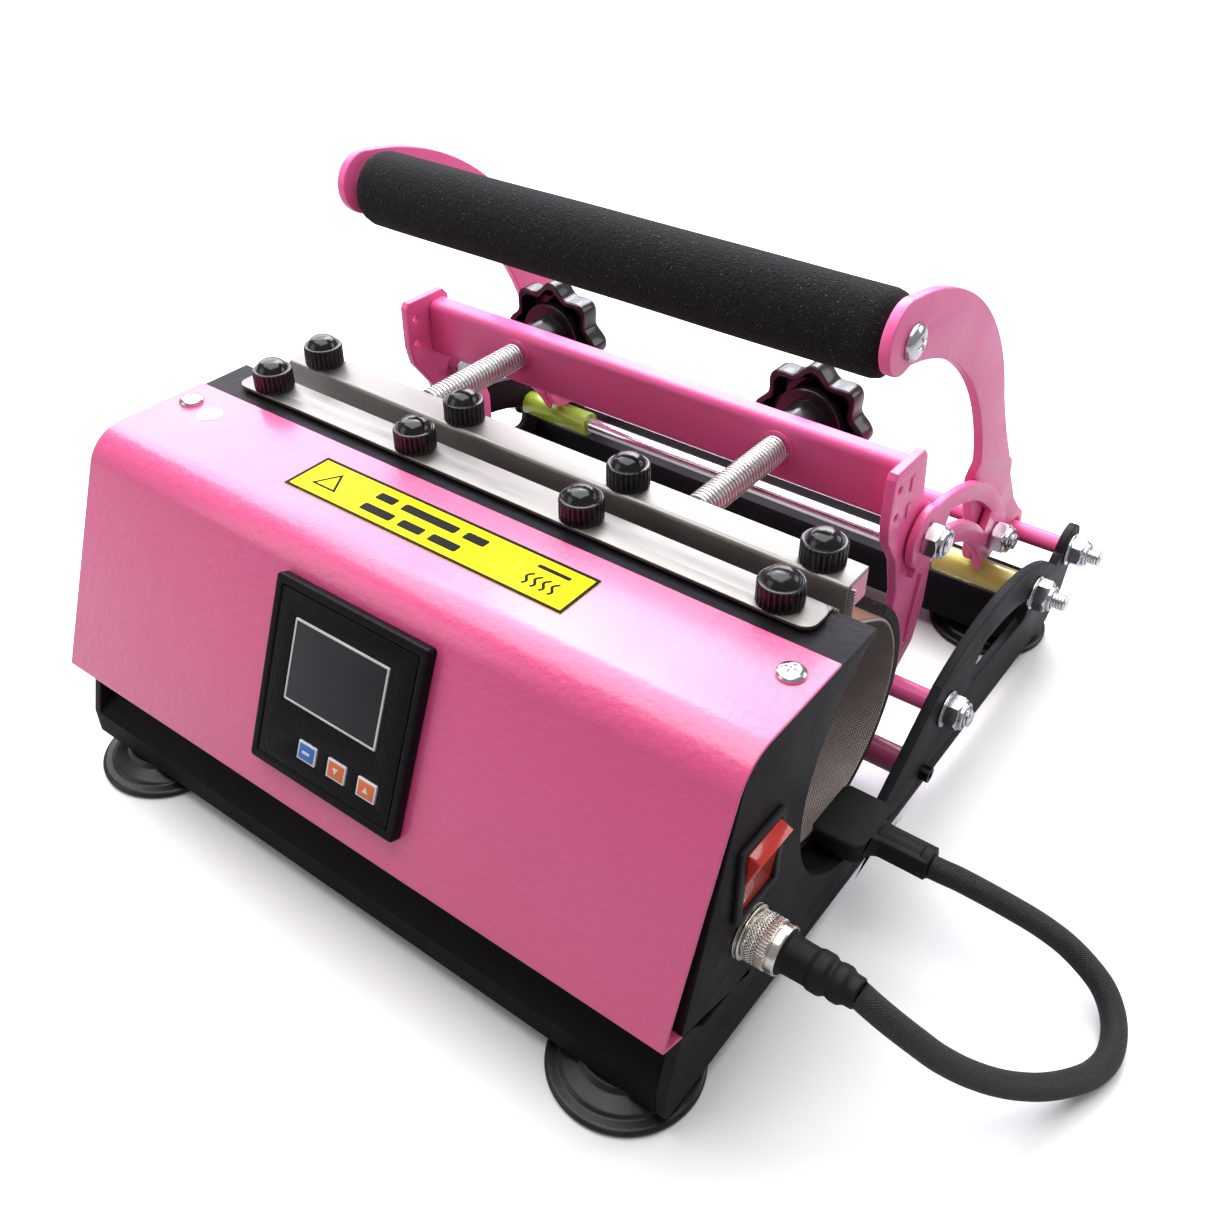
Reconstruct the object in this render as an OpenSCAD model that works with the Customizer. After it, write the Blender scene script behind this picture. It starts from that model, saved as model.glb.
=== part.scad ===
// Mug heat press: black side plates, folded pink control housing, C-shaped heater mat,
// toggle-lever jaw with a sprung clamp bar. X is the width, +Y the back, +Z up, and the
// origin lies on the table in the middle of the four feet.

/* [Frame] */
// Width over the side plates
frame_w = 300; // [290:1:330]
// Thickness of each side plate
plate_t = 4; // [3:0.5:5]
// Left to right spacing of the feet
foot_span_x = 248; // [236:1:252]
// Front to back spacing of the feet
foot_span_y = 304; // [298:1:304]
// Diameter of a rubber foot
foot_d = 56; // [50:1:60]
// Underside of the frame above the table
frame_z = 8.5; // [8:0.5:10]

/* [Control housing] */
// Lean of the front panel back from upright
front_lean = 21.7; // [18:0.1:24]
// Front lower edge of the cover, in front of the origin
cover_front = 170; // [168:1:172]
// Height of that edge
lip_z = 50.2; // [48:0.1:52]
// Outer height of the cover's flat top
cover_top = 143.2; // [143.2:0.1:143.2]
// Outer radius of the cover's bend
cover_bend = 18; // [12:1:22]
// Sheet thickness of the cover
cover_t = 1.2; // [1:0.1:1.5]
// Side of the square controller bezel
bezel = 72; // [70:1:74]

/* [Heater] */
// Inner radius of the heater mat
mat_r = 44; // [43:0.5:45]
// Thickness of the mat with its sponge backing
mat_t = 6; // [4:0.5:6.5]
// Length of the mat
mat_len = 272; // [260:1:276]
// Pitch of the thumb nuts along the clamp strips
nut_pitch = 80; // [76:1:82]

/* [Lever] */
// Diameter of the foam grip
grip_d = 30.5; // [29:0.5:34]
// Outer diameter of the two shafts
shaft_d = 13; // [12:0.5:14]
// Diameter of the star knobs
knob_d = 50; // [44:1:52]
// Distance of each pressure screw from the middle
screw_x = 66; // [60:1:70]

/* [Hidden] */
$fn = 64;
eps = 0.01;
half_w = frame_w / 2;
in_w = half_w - plate_t;

// Places in the side view, as [y, z]
handle_pivot = [168, 46.5];
jaw_pivot = [30.8, 44.4];
bumper_at = [122.7, 48];
spacer_at = [18.5, 18];
link_rear = [122.7, 69.6];
link_front = [39.5, 113.7];
grip_at = [-3.5, 212];
opening_at = [-33, 85];
opening_r = 60;
mat_at = [-44, 78];
socket_at = [-124, 63];
switch_at = [-122, 91.8];
inlet_at = [-118, 82];
boot_at = [-41, 35.5];

// Black top plate and what is clamped on it
top_z = 142;
top_t = 1.5;
top_rear = -57;
top_front = -97;
tail_t = 1.4;
strip_t = 1.5;
strip_y = -66.4;
strip_w = 15;
seat_z = top_z + tail_t + strip_t;
rear_nut_y = -38.8;

// Rear clamp bar, crossbar and pressure screws
bar_y0 = -44;
bar_y1 = -32.5;
bar_z0 = 133;
bar_half = 134;
web_y = 23.4;
web_t = 3;
web_z0 = 125;
web_z1 = 151;
flange_depth = 8.4;
screw_z = 140;

// Sideways layers of the lever, outside the middle
jaw_x0 = 118;
jaw_t = 4;
arm_step = 3;
grip_x0 = -jaw_x0 + arm_step;
grip_x1 = jaw_x0 + arm_step;
link_x0 = 123;
link_t = 3.5;

// Front panel: its own axes are X, up the slope, and outwards
up_slope = [sin(front_lean), cos(front_lean)];
inward = [cos(front_lean), -sin(front_lean)];
lip_at = [-cover_front, lip_z];
lip_len = 16;
controller_u = 1.4;
controller_v = 50.9;
controller_depth = 50;
slope_len = (cover_top - lip_z) / cos(front_lean);
bend_tangent = cover_bend * tan((90 - front_lean) / 2);
bend_start = lip_at + (slope_len - bend_tangent) * up_slope;
bend_centre = bend_start + cover_bend * inward;

// Heater cable: from the connector boot down to the table and back up to the heater boot
cable_d = 9;
cable_route = [
    [189.5, -124, 63], [195, -123.5, 60], [201, -121.5, 55], [208, -118, 48], [215, -113.5, 40],
    [223, -107, 31.5], [231, -99, 23.5], [238, -90.5, 17], [244, -82, 12], [249.5, -73, 8.5],
    [253.5, -64, 5.5], [255.5, -55, 4.6], [254.5, -46, 4.8], [251, -38.5, 7], [245, -33, 10.5],
    [237, -30.5, 14.5], [228, -30, 19], [218, -31.5, 23.5], [208, -34, 27.5], [198, -37, 31.5],
    [189, -39.5, 34.5], [184, -40.5, 35.2], [179, -41, 35.5]
];

// ---- helpers ----

function total(v, i = 0) = i < len(v) ? v[i] + total(v, i + 1) : 0;
function turning(p) = total([for (i = [0:len(p) - 1]) cross(p[i], p[(i + 1) % len(p)])]);

// Polygon whose points always run anticlockwise, so that neighbouring outlines join into one
module outline(p) {
    polygon(turning(p) < 0 ? [for (i = [len(p) - 1:-1:0]) p[i]] : p);
}

// Domed screw head on z = 0
module domed_head(r, h) {
    rotate_extrude() outline([
        [0, 0], [r, 0], [r, 0.25 * h], [0.87 * r, 0.55 * h], [0.62 * r, 0.82 * h],
        [0.32 * r, 0.96 * h], [0, h]
    ]);
}

// Puts a [y, z] outline on the plane x and makes it t thick towards +X
module slab(x, t) {
    translate([x, 0, 0]) rotate([90, 0, 90]) linear_extrude(t) children();
}

// Round bar along X from x0 to x1
module bar_x(at, x0, x1, r) {
    translate([x0, at[0], at[1]]) rotate([0, 90, 0]) cylinder(h = x1 - x0, r = r);
}

// Tube along X
module tube_x(at, x0, x1, r, bore) {
    difference() {
        bar_x(at, x0, x1, r);
        bar_x(at, x0 - 1, x1 + 1, bore);
    }
}

module hex_x(at, x0, x1, flats) {
    translate([x0, at[0], at[1]]) rotate([0, 90, 0]) rotate(30)
        cylinder(h = x1 - x0, r = flats / 2 / cos(30), $fn = 6);
}

module both_sides() {
    children();
    mirror([1, 0, 0]) children();
}

module rounded_square(w, h, r) {
    union() {
        square([w - 2 * r, h], center = true);
        square([w, h - 2 * r], center = true);
        for (sx = [-1, 1], sy = [-1, 1])
            translate([sx * (w / 2 - r), sy * (h / 2 - r)]) circle(r);
    }
}

// Children in the front panel's own axes, with z = 0 on the cover's outer face
module on_front(u, v) {
    translate([0, lip_at[0], lip_at[1]]) rotate([90 - front_lean, 0, 0])
        translate([u, v, 0]) children();
}

// Part of a circle about the bend's centre, cut on the two radii where the flat sheets begin
module bend_sector(r) {
    intersection() {
        translate(bend_centre) circle(r);
        outline([
            bend_centre, bend_centre - 2 * cover_bend * inward,
            [bend_start[0], cover_top + 20], [bend_centre[0], cover_top + 20]
        ]);
    }
}

// ---- frame ----

module arch_outline() {
    arc_at = [73, -54.6];
    arc_r = 127.8;
    union() {
        outline([[-33, frame_z], [-33, 26], [-23.5, 26], [21, 62], [24, 40], [24, frame_z]]);
        intersection() {
            translate(arc_at) circle(arc_r, $fn = 128);
            outline([[20.5, frame_z], [20.5, 90], [150, 90], [152, 30], [152, frame_z]]);
        }
        translate(handle_pivot) circle(12);
        outline([
            [140, frame_z], [140, 45], [150, 46], [154.5, 50], [168, 50], [179.7, 44],
            [175.5, 30], [173, 20], [159, frame_z]
        ]);
    }
}

module window_outline() {
    union() {
        translate([62.5, 44]) circle(6);
        translate([115.5, 39.5]) circle(4.5);
        intersection() {
            translate([73, -54.6]) circle(110.8, $fn = 128);
            outline([[62.5, 38], [115.5, 35], [119.8, 41], [112, 60], [64, 60], [64, 55], [57.4, 47.2]]);
        }
    }
}

module wall_outline() {
    front_low = lip_at + cover_t * inward + cover_t * up_slope;
    lip_end = lip_at + lip_len * inward + cover_t * up_slope;
    front_high = bend_start + cover_t * inward;
    difference() {
        union() {
            outline([
                front_low, front_high, bend_centre, [bend_centre[0], cover_top - cover_t],
                [top_front, cover_top - cover_t], [top_front, top_z - top_t],
                [top_rear - 1, top_z - top_t], [top_rear + 20, 120], [-33, 26], [-33, frame_z],
                [-118, frame_z], [-118, 37.5], [-146, 37.5], lip_end
            ]);
            bend_sector(cover_bend - cover_t);
            outline([
                [-166.5, frame_z + 2], [-164.5, frame_z], [-100, frame_z], [-100, 33.6],
                [-154, 33.6], [-166.5, 22]
            ]);
        }
        translate(opening_at) circle(opening_r, $fn = 128);
        translate([-122.6, 35.55]) circle(1.95);
        outline([[-122.6, 33.6], [-122.6, 37.5], [-150, 37.5], [-150, 33.6]]);
        outline([[-70, 145], [-57, 140.5], [-50, 120], [-30, 100], [-20, 145]]);
    }
}

// Side plate, common to both sides
module plate(x0) {
    difference() {
        slab(x0, plate_t) {
            difference() {
                union() {
                    wall_outline();
                    arch_outline();
                }
                window_outline();
                translate(handle_pivot) circle(4.02);
                translate(jaw_pivot) circle(4.02);
                translate(bumper_at) circle(4.02);
                translate(spacer_at) circle(2.02);
            }
        }
    }
}

module side_plate_right() {
    color([0.13, 0.13, 0.14]) difference() {
        plate(in_w);
        bar_x(socket_at, in_w - 1, half_w + 1, 8);
        translate([in_w - 1, switch_at[0] - 10.6, switch_at[1] - 15.1]) cube([plate_t + 2, 21.2, 30.2]);
    }
}

module side_plate_left() {
    color([0.13, 0.13, 0.14]) difference() {
        plate(-half_w);
        translate([-half_w - 1, inlet_at[0] - 13.5, inlet_at[1] - 10]) cube([plate_t + 2, 27, 20]);
    }
}

beam_t = 2;

module front_beam() {
    color([0.1, 0.1, 0.11]) difference() {
        slab(-in_w, 2 * in_w) difference() {
            outline([
                [-132, frame_z], [-164.5, frame_z], [-166.5, frame_z + 2], [-166.5, 22],
                [-154, 33.5], [-126, 33.5]
            ]);
            outline([
                [-131, frame_z + beam_t], [-164.5, frame_z + beam_t], [-164.5, 21.2],
                [-153.2, 31.5], [-125, 31.5]
            ]);
        }
        for (sx = [-1, 1]) translate([sx * foot_span_x / 2, -foot_span_y / 2, 0])
            cylinder(h = 20, r = 2.6);
    }
}

module rear_beam() {
    color([0.1, 0.1, 0.11]) difference() {
        slab(-in_w, 2 * in_w) difference() {
            outline([
                [132, frame_z], [158, frame_z], [166, 16], [166, 27], [158, 33.5], [130, 33.5],
                [128, 31], [128, 12]
            ]);
            outline([
                [130, 6], [130, 30.5], [131, 31.5], [157.2, 31.5], [164, 26.2], [164, 17],
                [157.2, frame_z + beam_t], [136, frame_z + beam_t], [136, 6]
            ]);
        }
        for (sx = [-1, 1]) translate([sx * foot_span_x / 2, foot_span_y / 2, 0])
            cylinder(h = 20, r = 2.6);
    }
}

module at_feet() {
    for (sx = [-1, 1], sy = [-1, 1])
        translate([sx * foot_span_x / 2, sy * foot_span_y / 2, 0]) children();
}

module rubber_feet() {
    r = foot_d / 2;
    color([0.05, 0.05, 0.05]) at_feet() rotate_extrude($fn = 96)
        outline([
            [5.5, 0], [r - 1, 0], [r, 1], [r, 2.6], [r - 1.5, 3.4], [r - 6, 4.2], [19, 6.4],
            [15, frame_z], [2.6, frame_z], [2.6, 5], [5.5, 5]
        ]);
}

module foot_screws() {
    color([0.75, 0.75, 0.76]) at_feet() {
        translate([0, 0, 2.2]) cylinder(h = 2.8, r = 4.6);
        translate([0, 0, 5 - eps]) cylinder(h = 11, r = 2.5);
        translate([0, 0, frame_z + beam_t]) cylinder(h = 4, r = 4.6, $fn = 6);
    }
}

module spacer_tube() {
    color([0.45, 0.14, 0.29]) tube_x(spacer_at, -in_w, in_w, 6, 2.02);
}

module spacer_screws() {
    color([0.07, 0.07, 0.07]) both_sides() {
        bar_x(spacer_at, in_w - 14, half_w + eps, 2);
        difference() {
            bar_x(spacer_at, half_w, half_w + 3.6, 3.4);
            hex_x(spacer_at, half_w + 1.6, half_w + 5, 3);
        }
    }
}

module bumper_rod() {
    color([0.8, 0.8, 0.82]) bar_x(bumper_at, -half_w - 15, half_w + 15, 4);
}

module bumper_sleeves() {
    color([0.75, 0.7, 0.25, 0.8]) both_sides() tube_x(bumper_at, 103, in_w - 0.2, 6.5, 4);
}

module pivot_rods() {
    color([0.78, 0.78, 0.8]) {
        bar_x(handle_pivot, -half_w - 15, half_w + 15, 4);
        bar_x(jaw_pivot, -half_w - 11, half_w + 11, 4);
    }
}

module frame_nuts() {
    color([0.82, 0.82, 0.84]) for (at = [handle_pivot, jaw_pivot, bumper_at]) both_sides() {
        difference() {
            union() {
                bar_x(at, half_w, half_w + 1.2, 8);
                hex_x(at, half_w + 1.2 - eps, half_w + 7.2, 13);
                bar_x(at, half_w + 7.2 - eps, half_w + 9, 5.8);
            }
            bar_x(at, half_w - 1, half_w + 10, 4);
        }
    }
}

// ---- control housing ----

module cover_profile() {
    lip_end = lip_at + lip_len * inward;
    inner = lip_at + cover_t * inward + cover_t * up_slope;
    union() {
        outline([
            lip_end, lip_at, bend_start, bend_start + cover_t * inward, inner,
            lip_end + cover_t * up_slope
        ]);
        difference() {
            bend_sector(cover_bend);
            translate(bend_centre) circle(cover_bend - cover_t);
        }
        translate([bend_centre[0], cover_top - cover_t]) square([-80.3 - bend_centre[0], cover_t]);
    }
}

module control_cover() {
    color([0.91, 0.42, 0.65]) difference() {
        slab(-half_w, frame_w) cover_profile();
        on_front(controller_u, controller_v) cube([68, 68, 10], center = true);
        for (sx = [-1, 1]) translate([sx * 140, -93.3, cover_top - 3]) cylinder(h = 5, r = 2.05);
    }
}

module cover_screws() {
    color([0.85, 0.85, 0.87]) {
        for (sx = [-1, 1]) translate([sx * 140, -93.3, 0]) {
            translate([0, 0, cover_top]) domed_head(5, 2.5);
            translate([0, 0, cover_top - 8]) cylinder(h = 8 + eps, r = 2);
        }
        for (u = [-98, 132]) translate([u, 0, 0]) on_front(0, 0) translate([0, 0, -9])
            rotate([90, 0, 0]) cylinder(h = 1.8, r = 3.8);
    }
}

module top_plate() {
    color([0.13, 0.13, 0.14]) difference() {
        translate([-half_w, top_front, top_z - top_t]) cube([frame_w, top_rear - top_front, top_t]);
        for (sx = [-1, 1]) translate([sx * 140, -93.3, 130]) cylinder(h = 20, r = 2);
        for (k = [0:3]) translate([nut_x(k), strip_y, 130]) cylinder(h = 20, r = 2);
    }
}

module cradle_wall() {
    color([0.1, 0.1, 0.11]) slab(-in_w, 2 * in_w) union() {
        intersection() {
            difference() {
                translate(mat_at) circle(mat_r + mat_t + 3.5, $fn = 128);
                translate(mat_at) circle(mat_r + mat_t + 1.5, $fn = 128);
            }
            outline([mat_at, [-57.3, 78], [-57.3, 135], [-160, 135], [-160, 10], [-30, 10]]);
        }
        outline([[-59.3, 128], [-59.3, top_z - top_t], [-57.3, top_z - top_t], [-57.3, 128.6]]);
    }
}

module caution_label() {
    color([0.98, 0.93, 0.05]) translate([-62.5, -112.6, cover_top]) cube([130, 22, 0.3]);
}

module controller_housing() {
    color([0.07, 0.07, 0.08]) on_front(controller_u, controller_v) difference() {
        union() {
            translate([0, 0, 0]) linear_extrude(4.5) rounded_square(bezel, bezel, 1.5);
            translate([-33.5, -33.5, -controller_depth]) cube([67, 67, controller_depth + eps]);
        }
        translate([-1, 8.1, 3.6]) translate([-22.6, -15.6, 0]) cube([45.2, 31.2, 3]);
        for (k = [0:2]) translate([button_u(k) - 4.8, -26.6, 1.5]) cube([9.6, 8, 5]);
    }
}

function button_u(k) = -8.5 + 14.7 * k;

module display_window() {
    color([0.2, 0.21, 0.24]) on_front(controller_u, controller_v)
        translate([-23.5, -7.4, 3.6]) cube([45, 31, 1.1]);
}

module button(k) {
    on_front(controller_u + button_u(k), controller_v - 22.6)
        translate([-4.5, -3.7, 2.6]) cube([9, 7.4, 2.5]);
}

module set_button() {
    color([0.14, 0.33, 0.62]) button(0);
}

module down_button() {
    color([0.88, 0.42, 0.2]) button(1);
}

module up_button() {
    color([0.88, 0.42, 0.2]) button(2);
}

// Rocker switch: local axes are outwards from the plate and up
rocker_r = 13.9;

module switch_housing() {
    color([0.06, 0.06, 0.06]) difference() {
        union() {
            translate([half_w, switch_at[0] - 12.75, switch_at[1] - 16.5]) cube([2, 25.5, 33]);
            translate([half_w - 26, switch_at[0] - 10.5, switch_at[1] - 15]) cube([26 + eps, 21, 30]);
        }
        translate([half_w - 12, switch_at[0] - 9.6, switch_at[1] - rocker_r - 0.3])
            cube([20, 19.2, 2 * rocker_r + 0.6]);
    }
}

module power_rocker() {
    color([0.85, 0.14, 0.12]) translate([half_w - 1, switch_at[0] + 9.3, switch_at[1]])
        rotate([90, 0, 0]) linear_extrude(18.6) intersection() {
            circle(rocker_r);
            outline([[-4, -14], [1.6, -14], [3, 0], [8.2, 14], [-4, 14]]);
        }
}

// Round panel socket, its knurled coupling ring and the boot behind it
module cable_socket() {
    color([0.8, 0.78, 0.7]) {
        difference() {
            union() {
                bar_x(socket_at, half_w, half_w + 2.5, 9.8);
                bar_x(socket_at, half_w - 12, half_w + 6, 7.9);
            }
            bar_x(socket_at, half_w + 1, half_w + 8, 6.4);
        }
        for (k = [0:3]) bar_x(socket_at + 3 * [cos(90 * k + 45), sin(90 * k + 45)], half_w, half_w + 5, 0.8);
    }
}

module coupling_ring() {
    color([0.8, 0.79, 0.72]) tube_x(socket_at, half_w + 3, half_w + 14.5, 9, 7.95);
}

module connector_boot() {
    color([0.05, 0.05, 0.05]) translate([half_w + 6.5, socket_at[0], socket_at[1]]) rotate([0, 90, 0])
        rotate_extrude() outline([
            [0, 0], [7.9, 0], [7.9, 8.5], [6.6, 8.7], [6.4, 18], [6.9, 19.5], [6.9, 22.5],
            [5.7, 24], [6.3, 26], [6.3, 28.5], [5.3, 30], [5.1, 33.5], [0, 33.5]
        ]);
}

// Swept tube: rings of a regular polygon across the route
function unit(v) = v / norm(v);
function tangent(p, i) = unit(p[min(i + 1, len(p) - 1)] - p[max(i - 1, 0)]);
function ring(p, i, r, n) =
    let (
        t = i == 0 ? [1, 0, 0] : i == len(p) - 1 ? [-1, 0, 0] : tangent(p, i),
        a = unit(cross([0, 0, 1], t)),
        b = cross(t, a)
    )
    [for (k = [0:n - 1]) p[i] + r * (cos(360 * k / n) * a + sin(360 * k / n) * b)];

module swept(p, r, n) {
    points = [for (i = [0:len(p) - 1]) each ring(p, i, r, n)];
    sides = [
        for (i = [0:len(p) - 2], k = [0:n - 1])
            [i * n + k, i * n + (k + 1) % n, (i + 1) * n + (k + 1) % n, (i + 1) * n + k]
    ];
    first = [for (k = [0:n - 1]) n - 1 - k];
    last = [for (k = [0:n - 1]) (len(p) - 1) * n + k];
    polyhedron(concat(points), concat(sides, [first, last]), convexity = 6);
}

module heater_cable() {
    color([0.06, 0.06, 0.07]) swept(cable_route, cable_d / 2, 12);
}

module heater_boot() {
    x0 = mat_len / 2;
    color([0.06, 0.06, 0.06]) {
        translate([x0, -54, boot_at[1] - 4.5]) cube([21, 28, 9]);
        translate([x0 + 21 - eps, boot_at[0], boot_at[1]]) rotate([0, 90, 0])
            cylinder(h = 179 - x0 - 21 + eps, r = 5.8);
    }
}

module power_inlet() {
    y = inlet_at[0];
    z = inlet_at[1];
    color([0.07, 0.07, 0.07]) {
        difference() {
            union() {
                translate([-half_w - 2.5, y - 25, z - 11.5]) cube([2.5, 50, 23]);
                translate([-half_w - eps, y - 13.4, z - 9.9]) cube([24, 26.8, 19.8]);
            }
            translate([-half_w - 4, y - 12, z - 8]) cube([20, 24, 16]);
            for (sy = [-1, 1]) translate([-half_w - 4, y + 20 * sy, z]) rotate([0, 90, 0])
                cylinder(h = 10, r = 1.7);
        }
        for (k = [-1:1]) translate([-half_w - 1, y + 7 * k - 1, z - 2 + (k == 0 ? 3 : 0)])
            cube([19, 2, 4]);
    }
}

// ---- heater mat and its clamps ----

function nut_x(k) = (k - 1.5) * nut_pitch;

module heater_mat() {
    outer = mat_r + mat_t;
    front_a = 105;
    rear_a = 60;
    in_f = mat_at + mat_r * [cos(front_a), sin(front_a)];
    out_f = mat_at + outer * [cos(front_a), sin(front_a)];
    in_r = mat_at + mat_r * [cos(rear_a), sin(rear_a)];
    out_r = mat_at + outer * [cos(rear_a), sin(rear_a)];
    color([0.25, 0.2, 0.19]) difference() {
        slab(-mat_len / 2, mat_len) union() {
            difference() {
                translate(mat_at) circle(outer, $fn = 128);
                translate(mat_at) circle(mat_r, $fn = 128);
                outline([mat_at, mat_at + 3 * (in_f - mat_at), [-44, 200], mat_at + 3 * (in_r - mat_at)]);
            }
            outline([
                out_f, [top_rear, top_z], [strip_y - strip_w / 2 + 0.5, top_z],
                [strip_y - strip_w / 2 + 0.5, top_z + tail_t], [-55.4, top_z + tail_t],
                [-55, 140], in_f
            ]);
            outline([
                out_r, [-41, bar_z0 - 2], [bar_y0 - tail_t, bar_z0 - 2],
                [bar_y0 - tail_t, 128], in_r
            ]);
        }
        for (k = [0:3]) translate([nut_x(k), strip_y, 130]) cylinder(h = 20, r = 2.3);
    }
}

module front_clamp_strip() {
    color([0.78, 0.77, 0.75]) difference() {
        translate([0, strip_y, top_z + tail_t]) linear_extrude(strip_t)
            rounded_square(2 * bar_half + 3, strip_w, 5);
        for (k = [0:3]) translate([nut_x(k), strip_y, 130]) cylinder(h = 20, r = 2.2);
    }
}

module front_clamp_studs() {
    color([0.75, 0.75, 0.76]) for (k = [0:3]) translate([nut_x(k), strip_y, 0]) {
        translate([0, 0, 134]) cylinder(h = 17.6, r = 2);
        translate([0, 0, top_z - top_t - 3.2]) cylinder(h = 3.2, r = 4, $fn = 6);
    }
}

// Knurled dome nut, its seat at z = 0
module thumb_nut() {
    ridges = 26;
    color([0.06, 0.06, 0.06]) difference() {
        union() {
            linear_extrude(8.6) outline([
                for (k = [0:2 * ridges - 1])
                    let (a = 180 * k / ridges, r = k % 2 == 0 ? 8.15 : 7.65)
                    [r * cos(a), r * sin(a)]
            ]);
            translate([0, 0, 8.5]) rotate_extrude() outline([
                [0, 0], [7.4, 0], [7.4, 0.7], [6.6, 2], [4.9, 3.1], [2.5, 3.8], [0, 3.95]
            ]);
        }
        translate([0, 0, -1]) cylinder(h = 8.2, r = 2.05);
    }
}

module thumb_nut_front(k) {
    translate([nut_x(k), strip_y, seat_z]) thumb_nut();
}

module thumb_nut_rear(k) {
    translate([nut_x(k), rear_nut_y, seat_z]) thumb_nut();
}

module rear_clamp_bar() {
    color([0.91, 0.42, 0.65]) difference() {
        translate([-bar_half, bar_y0, bar_z0])
            cube([2 * bar_half, bar_y1 - bar_y0, top_z + tail_t - bar_z0]);
        for (sx = [-1, 1]) translate([sx * screw_x, bar_y0 - 1, screw_z]) rotate([-90, 0, 0])
            cylinder(h = 30, r = 3);
    }
    // studs welded into the bar for its thumb nuts
    color([0.75, 0.75, 0.76]) for (k = [0:3]) translate([nut_x(k), rear_nut_y, bar_z0 + 1])
        cylinder(h = 151.6 - bar_z0 - 1, r = 2);
}

module rear_clamp_strip() {
    y0 = bar_y0 - tail_t - strip_t;
    color([0.78, 0.77, 0.75]) difference() {
        slab(-bar_half, 2 * bar_half) outline([
            [y0, bar_z0 - 1], [y0, seat_z], [bar_y1, seat_z], [bar_y1, top_z + tail_t],
            [y0 + strip_t, top_z + tail_t], [y0 + strip_t, bar_z0 - 1]
        ]);
        for (k = [0:3]) translate([nut_x(k), rear_nut_y, 130]) cylinder(h = 20, r = 2.2);
    }
}

module pressure_springs() {
    color([0.82, 0.82, 0.83]) for (sx = [-1, 1]) translate([sx * screw_x, bar_y1, screw_z])
        rotate([-90, 0, 0]) difference() {
            cylinder(h = web_y - bar_y1, r = 6);
            translate([0, 0, -1]) cylinder(h = 80, r = 4.6);
        }
}

// Star knob moulded on its threaded pressure screw
module star_knob(x) {
    lobe_r = 5.6;
    color([0.05, 0.05, 0.05]) translate([x, 0, screw_z]) rotate([-90, 0, 0]) {
        translate([0, 0, web_y + web_t + 0.2]) cylinder(h = 21, r = 7.9);
        translate([0, 0, 47]) linear_extrude(11) union() {
            circle(knob_d / 2 - 4);
            for (k = [0:7]) rotate(45 * k) translate([knob_d / 2 - lobe_r, 0]) circle(lobe_r);
        }
    }
    color([0.75, 0.75, 0.76]) translate([x, bar_y0 + 2, screw_z]) rotate([-90, 0, 0])
        cylinder(h = web_y + web_t + 1 - bar_y0 - 2, r = 2.95);
}

module star_knob_left() {
    star_knob(-screw_x);
}

module star_knob_right() {
    star_knob(screw_x);
}

// ---- jaw ----

module jaw_outline() {
    difference() {
        union() {
            translate(jaw_pivot) circle(14);
            translate(link_front) circle(13);
            outline([
                [9.3, 152], [11, 154.3], [33, 154.3], [36, 151], [39, 132], [46, 124.5],
                [52, 110], [60.5, 88], [61, 68], [56, 50], [44.7, 42], [16.9, 42], [26, 68],
                [28, 92], [22, 110], [11.5, 124], [9.3, 133]
            ]);
        }
        translate(link_front) circle(4.02);
        translate([web_y, 129]) square([web_t, 6]);
        translate([web_y, 141]) square([web_t, 6]);
        translate([14.5, 146]) circle(1.6);
        translate([14.5, 134]) circle(1.6);
        // pressed relief along the arm
        outline([[43.5, 92], [53, 86], [47.5, 54], [46, 54]]);
    }
}

// Right jaw arm; the left one is its mirror image
module jaw_arm() {
    color([0.89, 0.45, 0.66]) difference() {
        union() {
            slab(jaw_x0, jaw_t) jaw_outline();
            slab(jaw_x0, jaw_t - 1.2) outline([[42, 95], [56, 88], [49, 50], [44, 50]]);
        }
        bar_x(jaw_pivot, jaw_x0 - 1, jaw_x0 + jaw_t + 1, shaft_d / 2);
    }
}

module jaw_arm_right() {
    jaw_arm();
}

module jaw_arm_left() {
    mirror([1, 0, 0]) jaw_arm();
}

module jaw_shaft() {
    color([0.87, 0.4, 0.62]) tube_x(jaw_pivot, -in_w + 0.4, in_w - 0.4, shaft_d / 2, 4.05);
}

module jaw_link_bolts() {
    color([0.82, 0.82, 0.84]) both_sides() {
        bar_x(link_front, jaw_x0 - eps, jaw_x0 + jaw_t, 4);
        hex_x(link_front, jaw_x0 - 5.5, jaw_x0, 13);
    }
}

module crossbar() {
    color([0.85, 0.38, 0.6]) difference() {
        union() {
            translate([-jaw_x0, web_y, web_z0]) cube([2 * jaw_x0, web_t, web_z1 - web_z0]);
            for (z = [web_z0, web_z1 - 2.5]) translate([-jaw_x0, web_y, z])
                cube([2 * jaw_x0, flange_depth, 2.5]);
            for (z = [129, 141]) translate([-jaw_x0 - jaw_t - 0.5, web_y, z])
                cube([2 * (jaw_x0 + jaw_t + 0.5), web_t, 6]);
        }
        for (sx = [-1, 1]) translate([sx * screw_x, web_y - 1, screw_z]) rotate([-90, 0, 0])
            cylinder(h = 6, r = 3.6);
    }
}

// ---- handle and links ----

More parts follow.
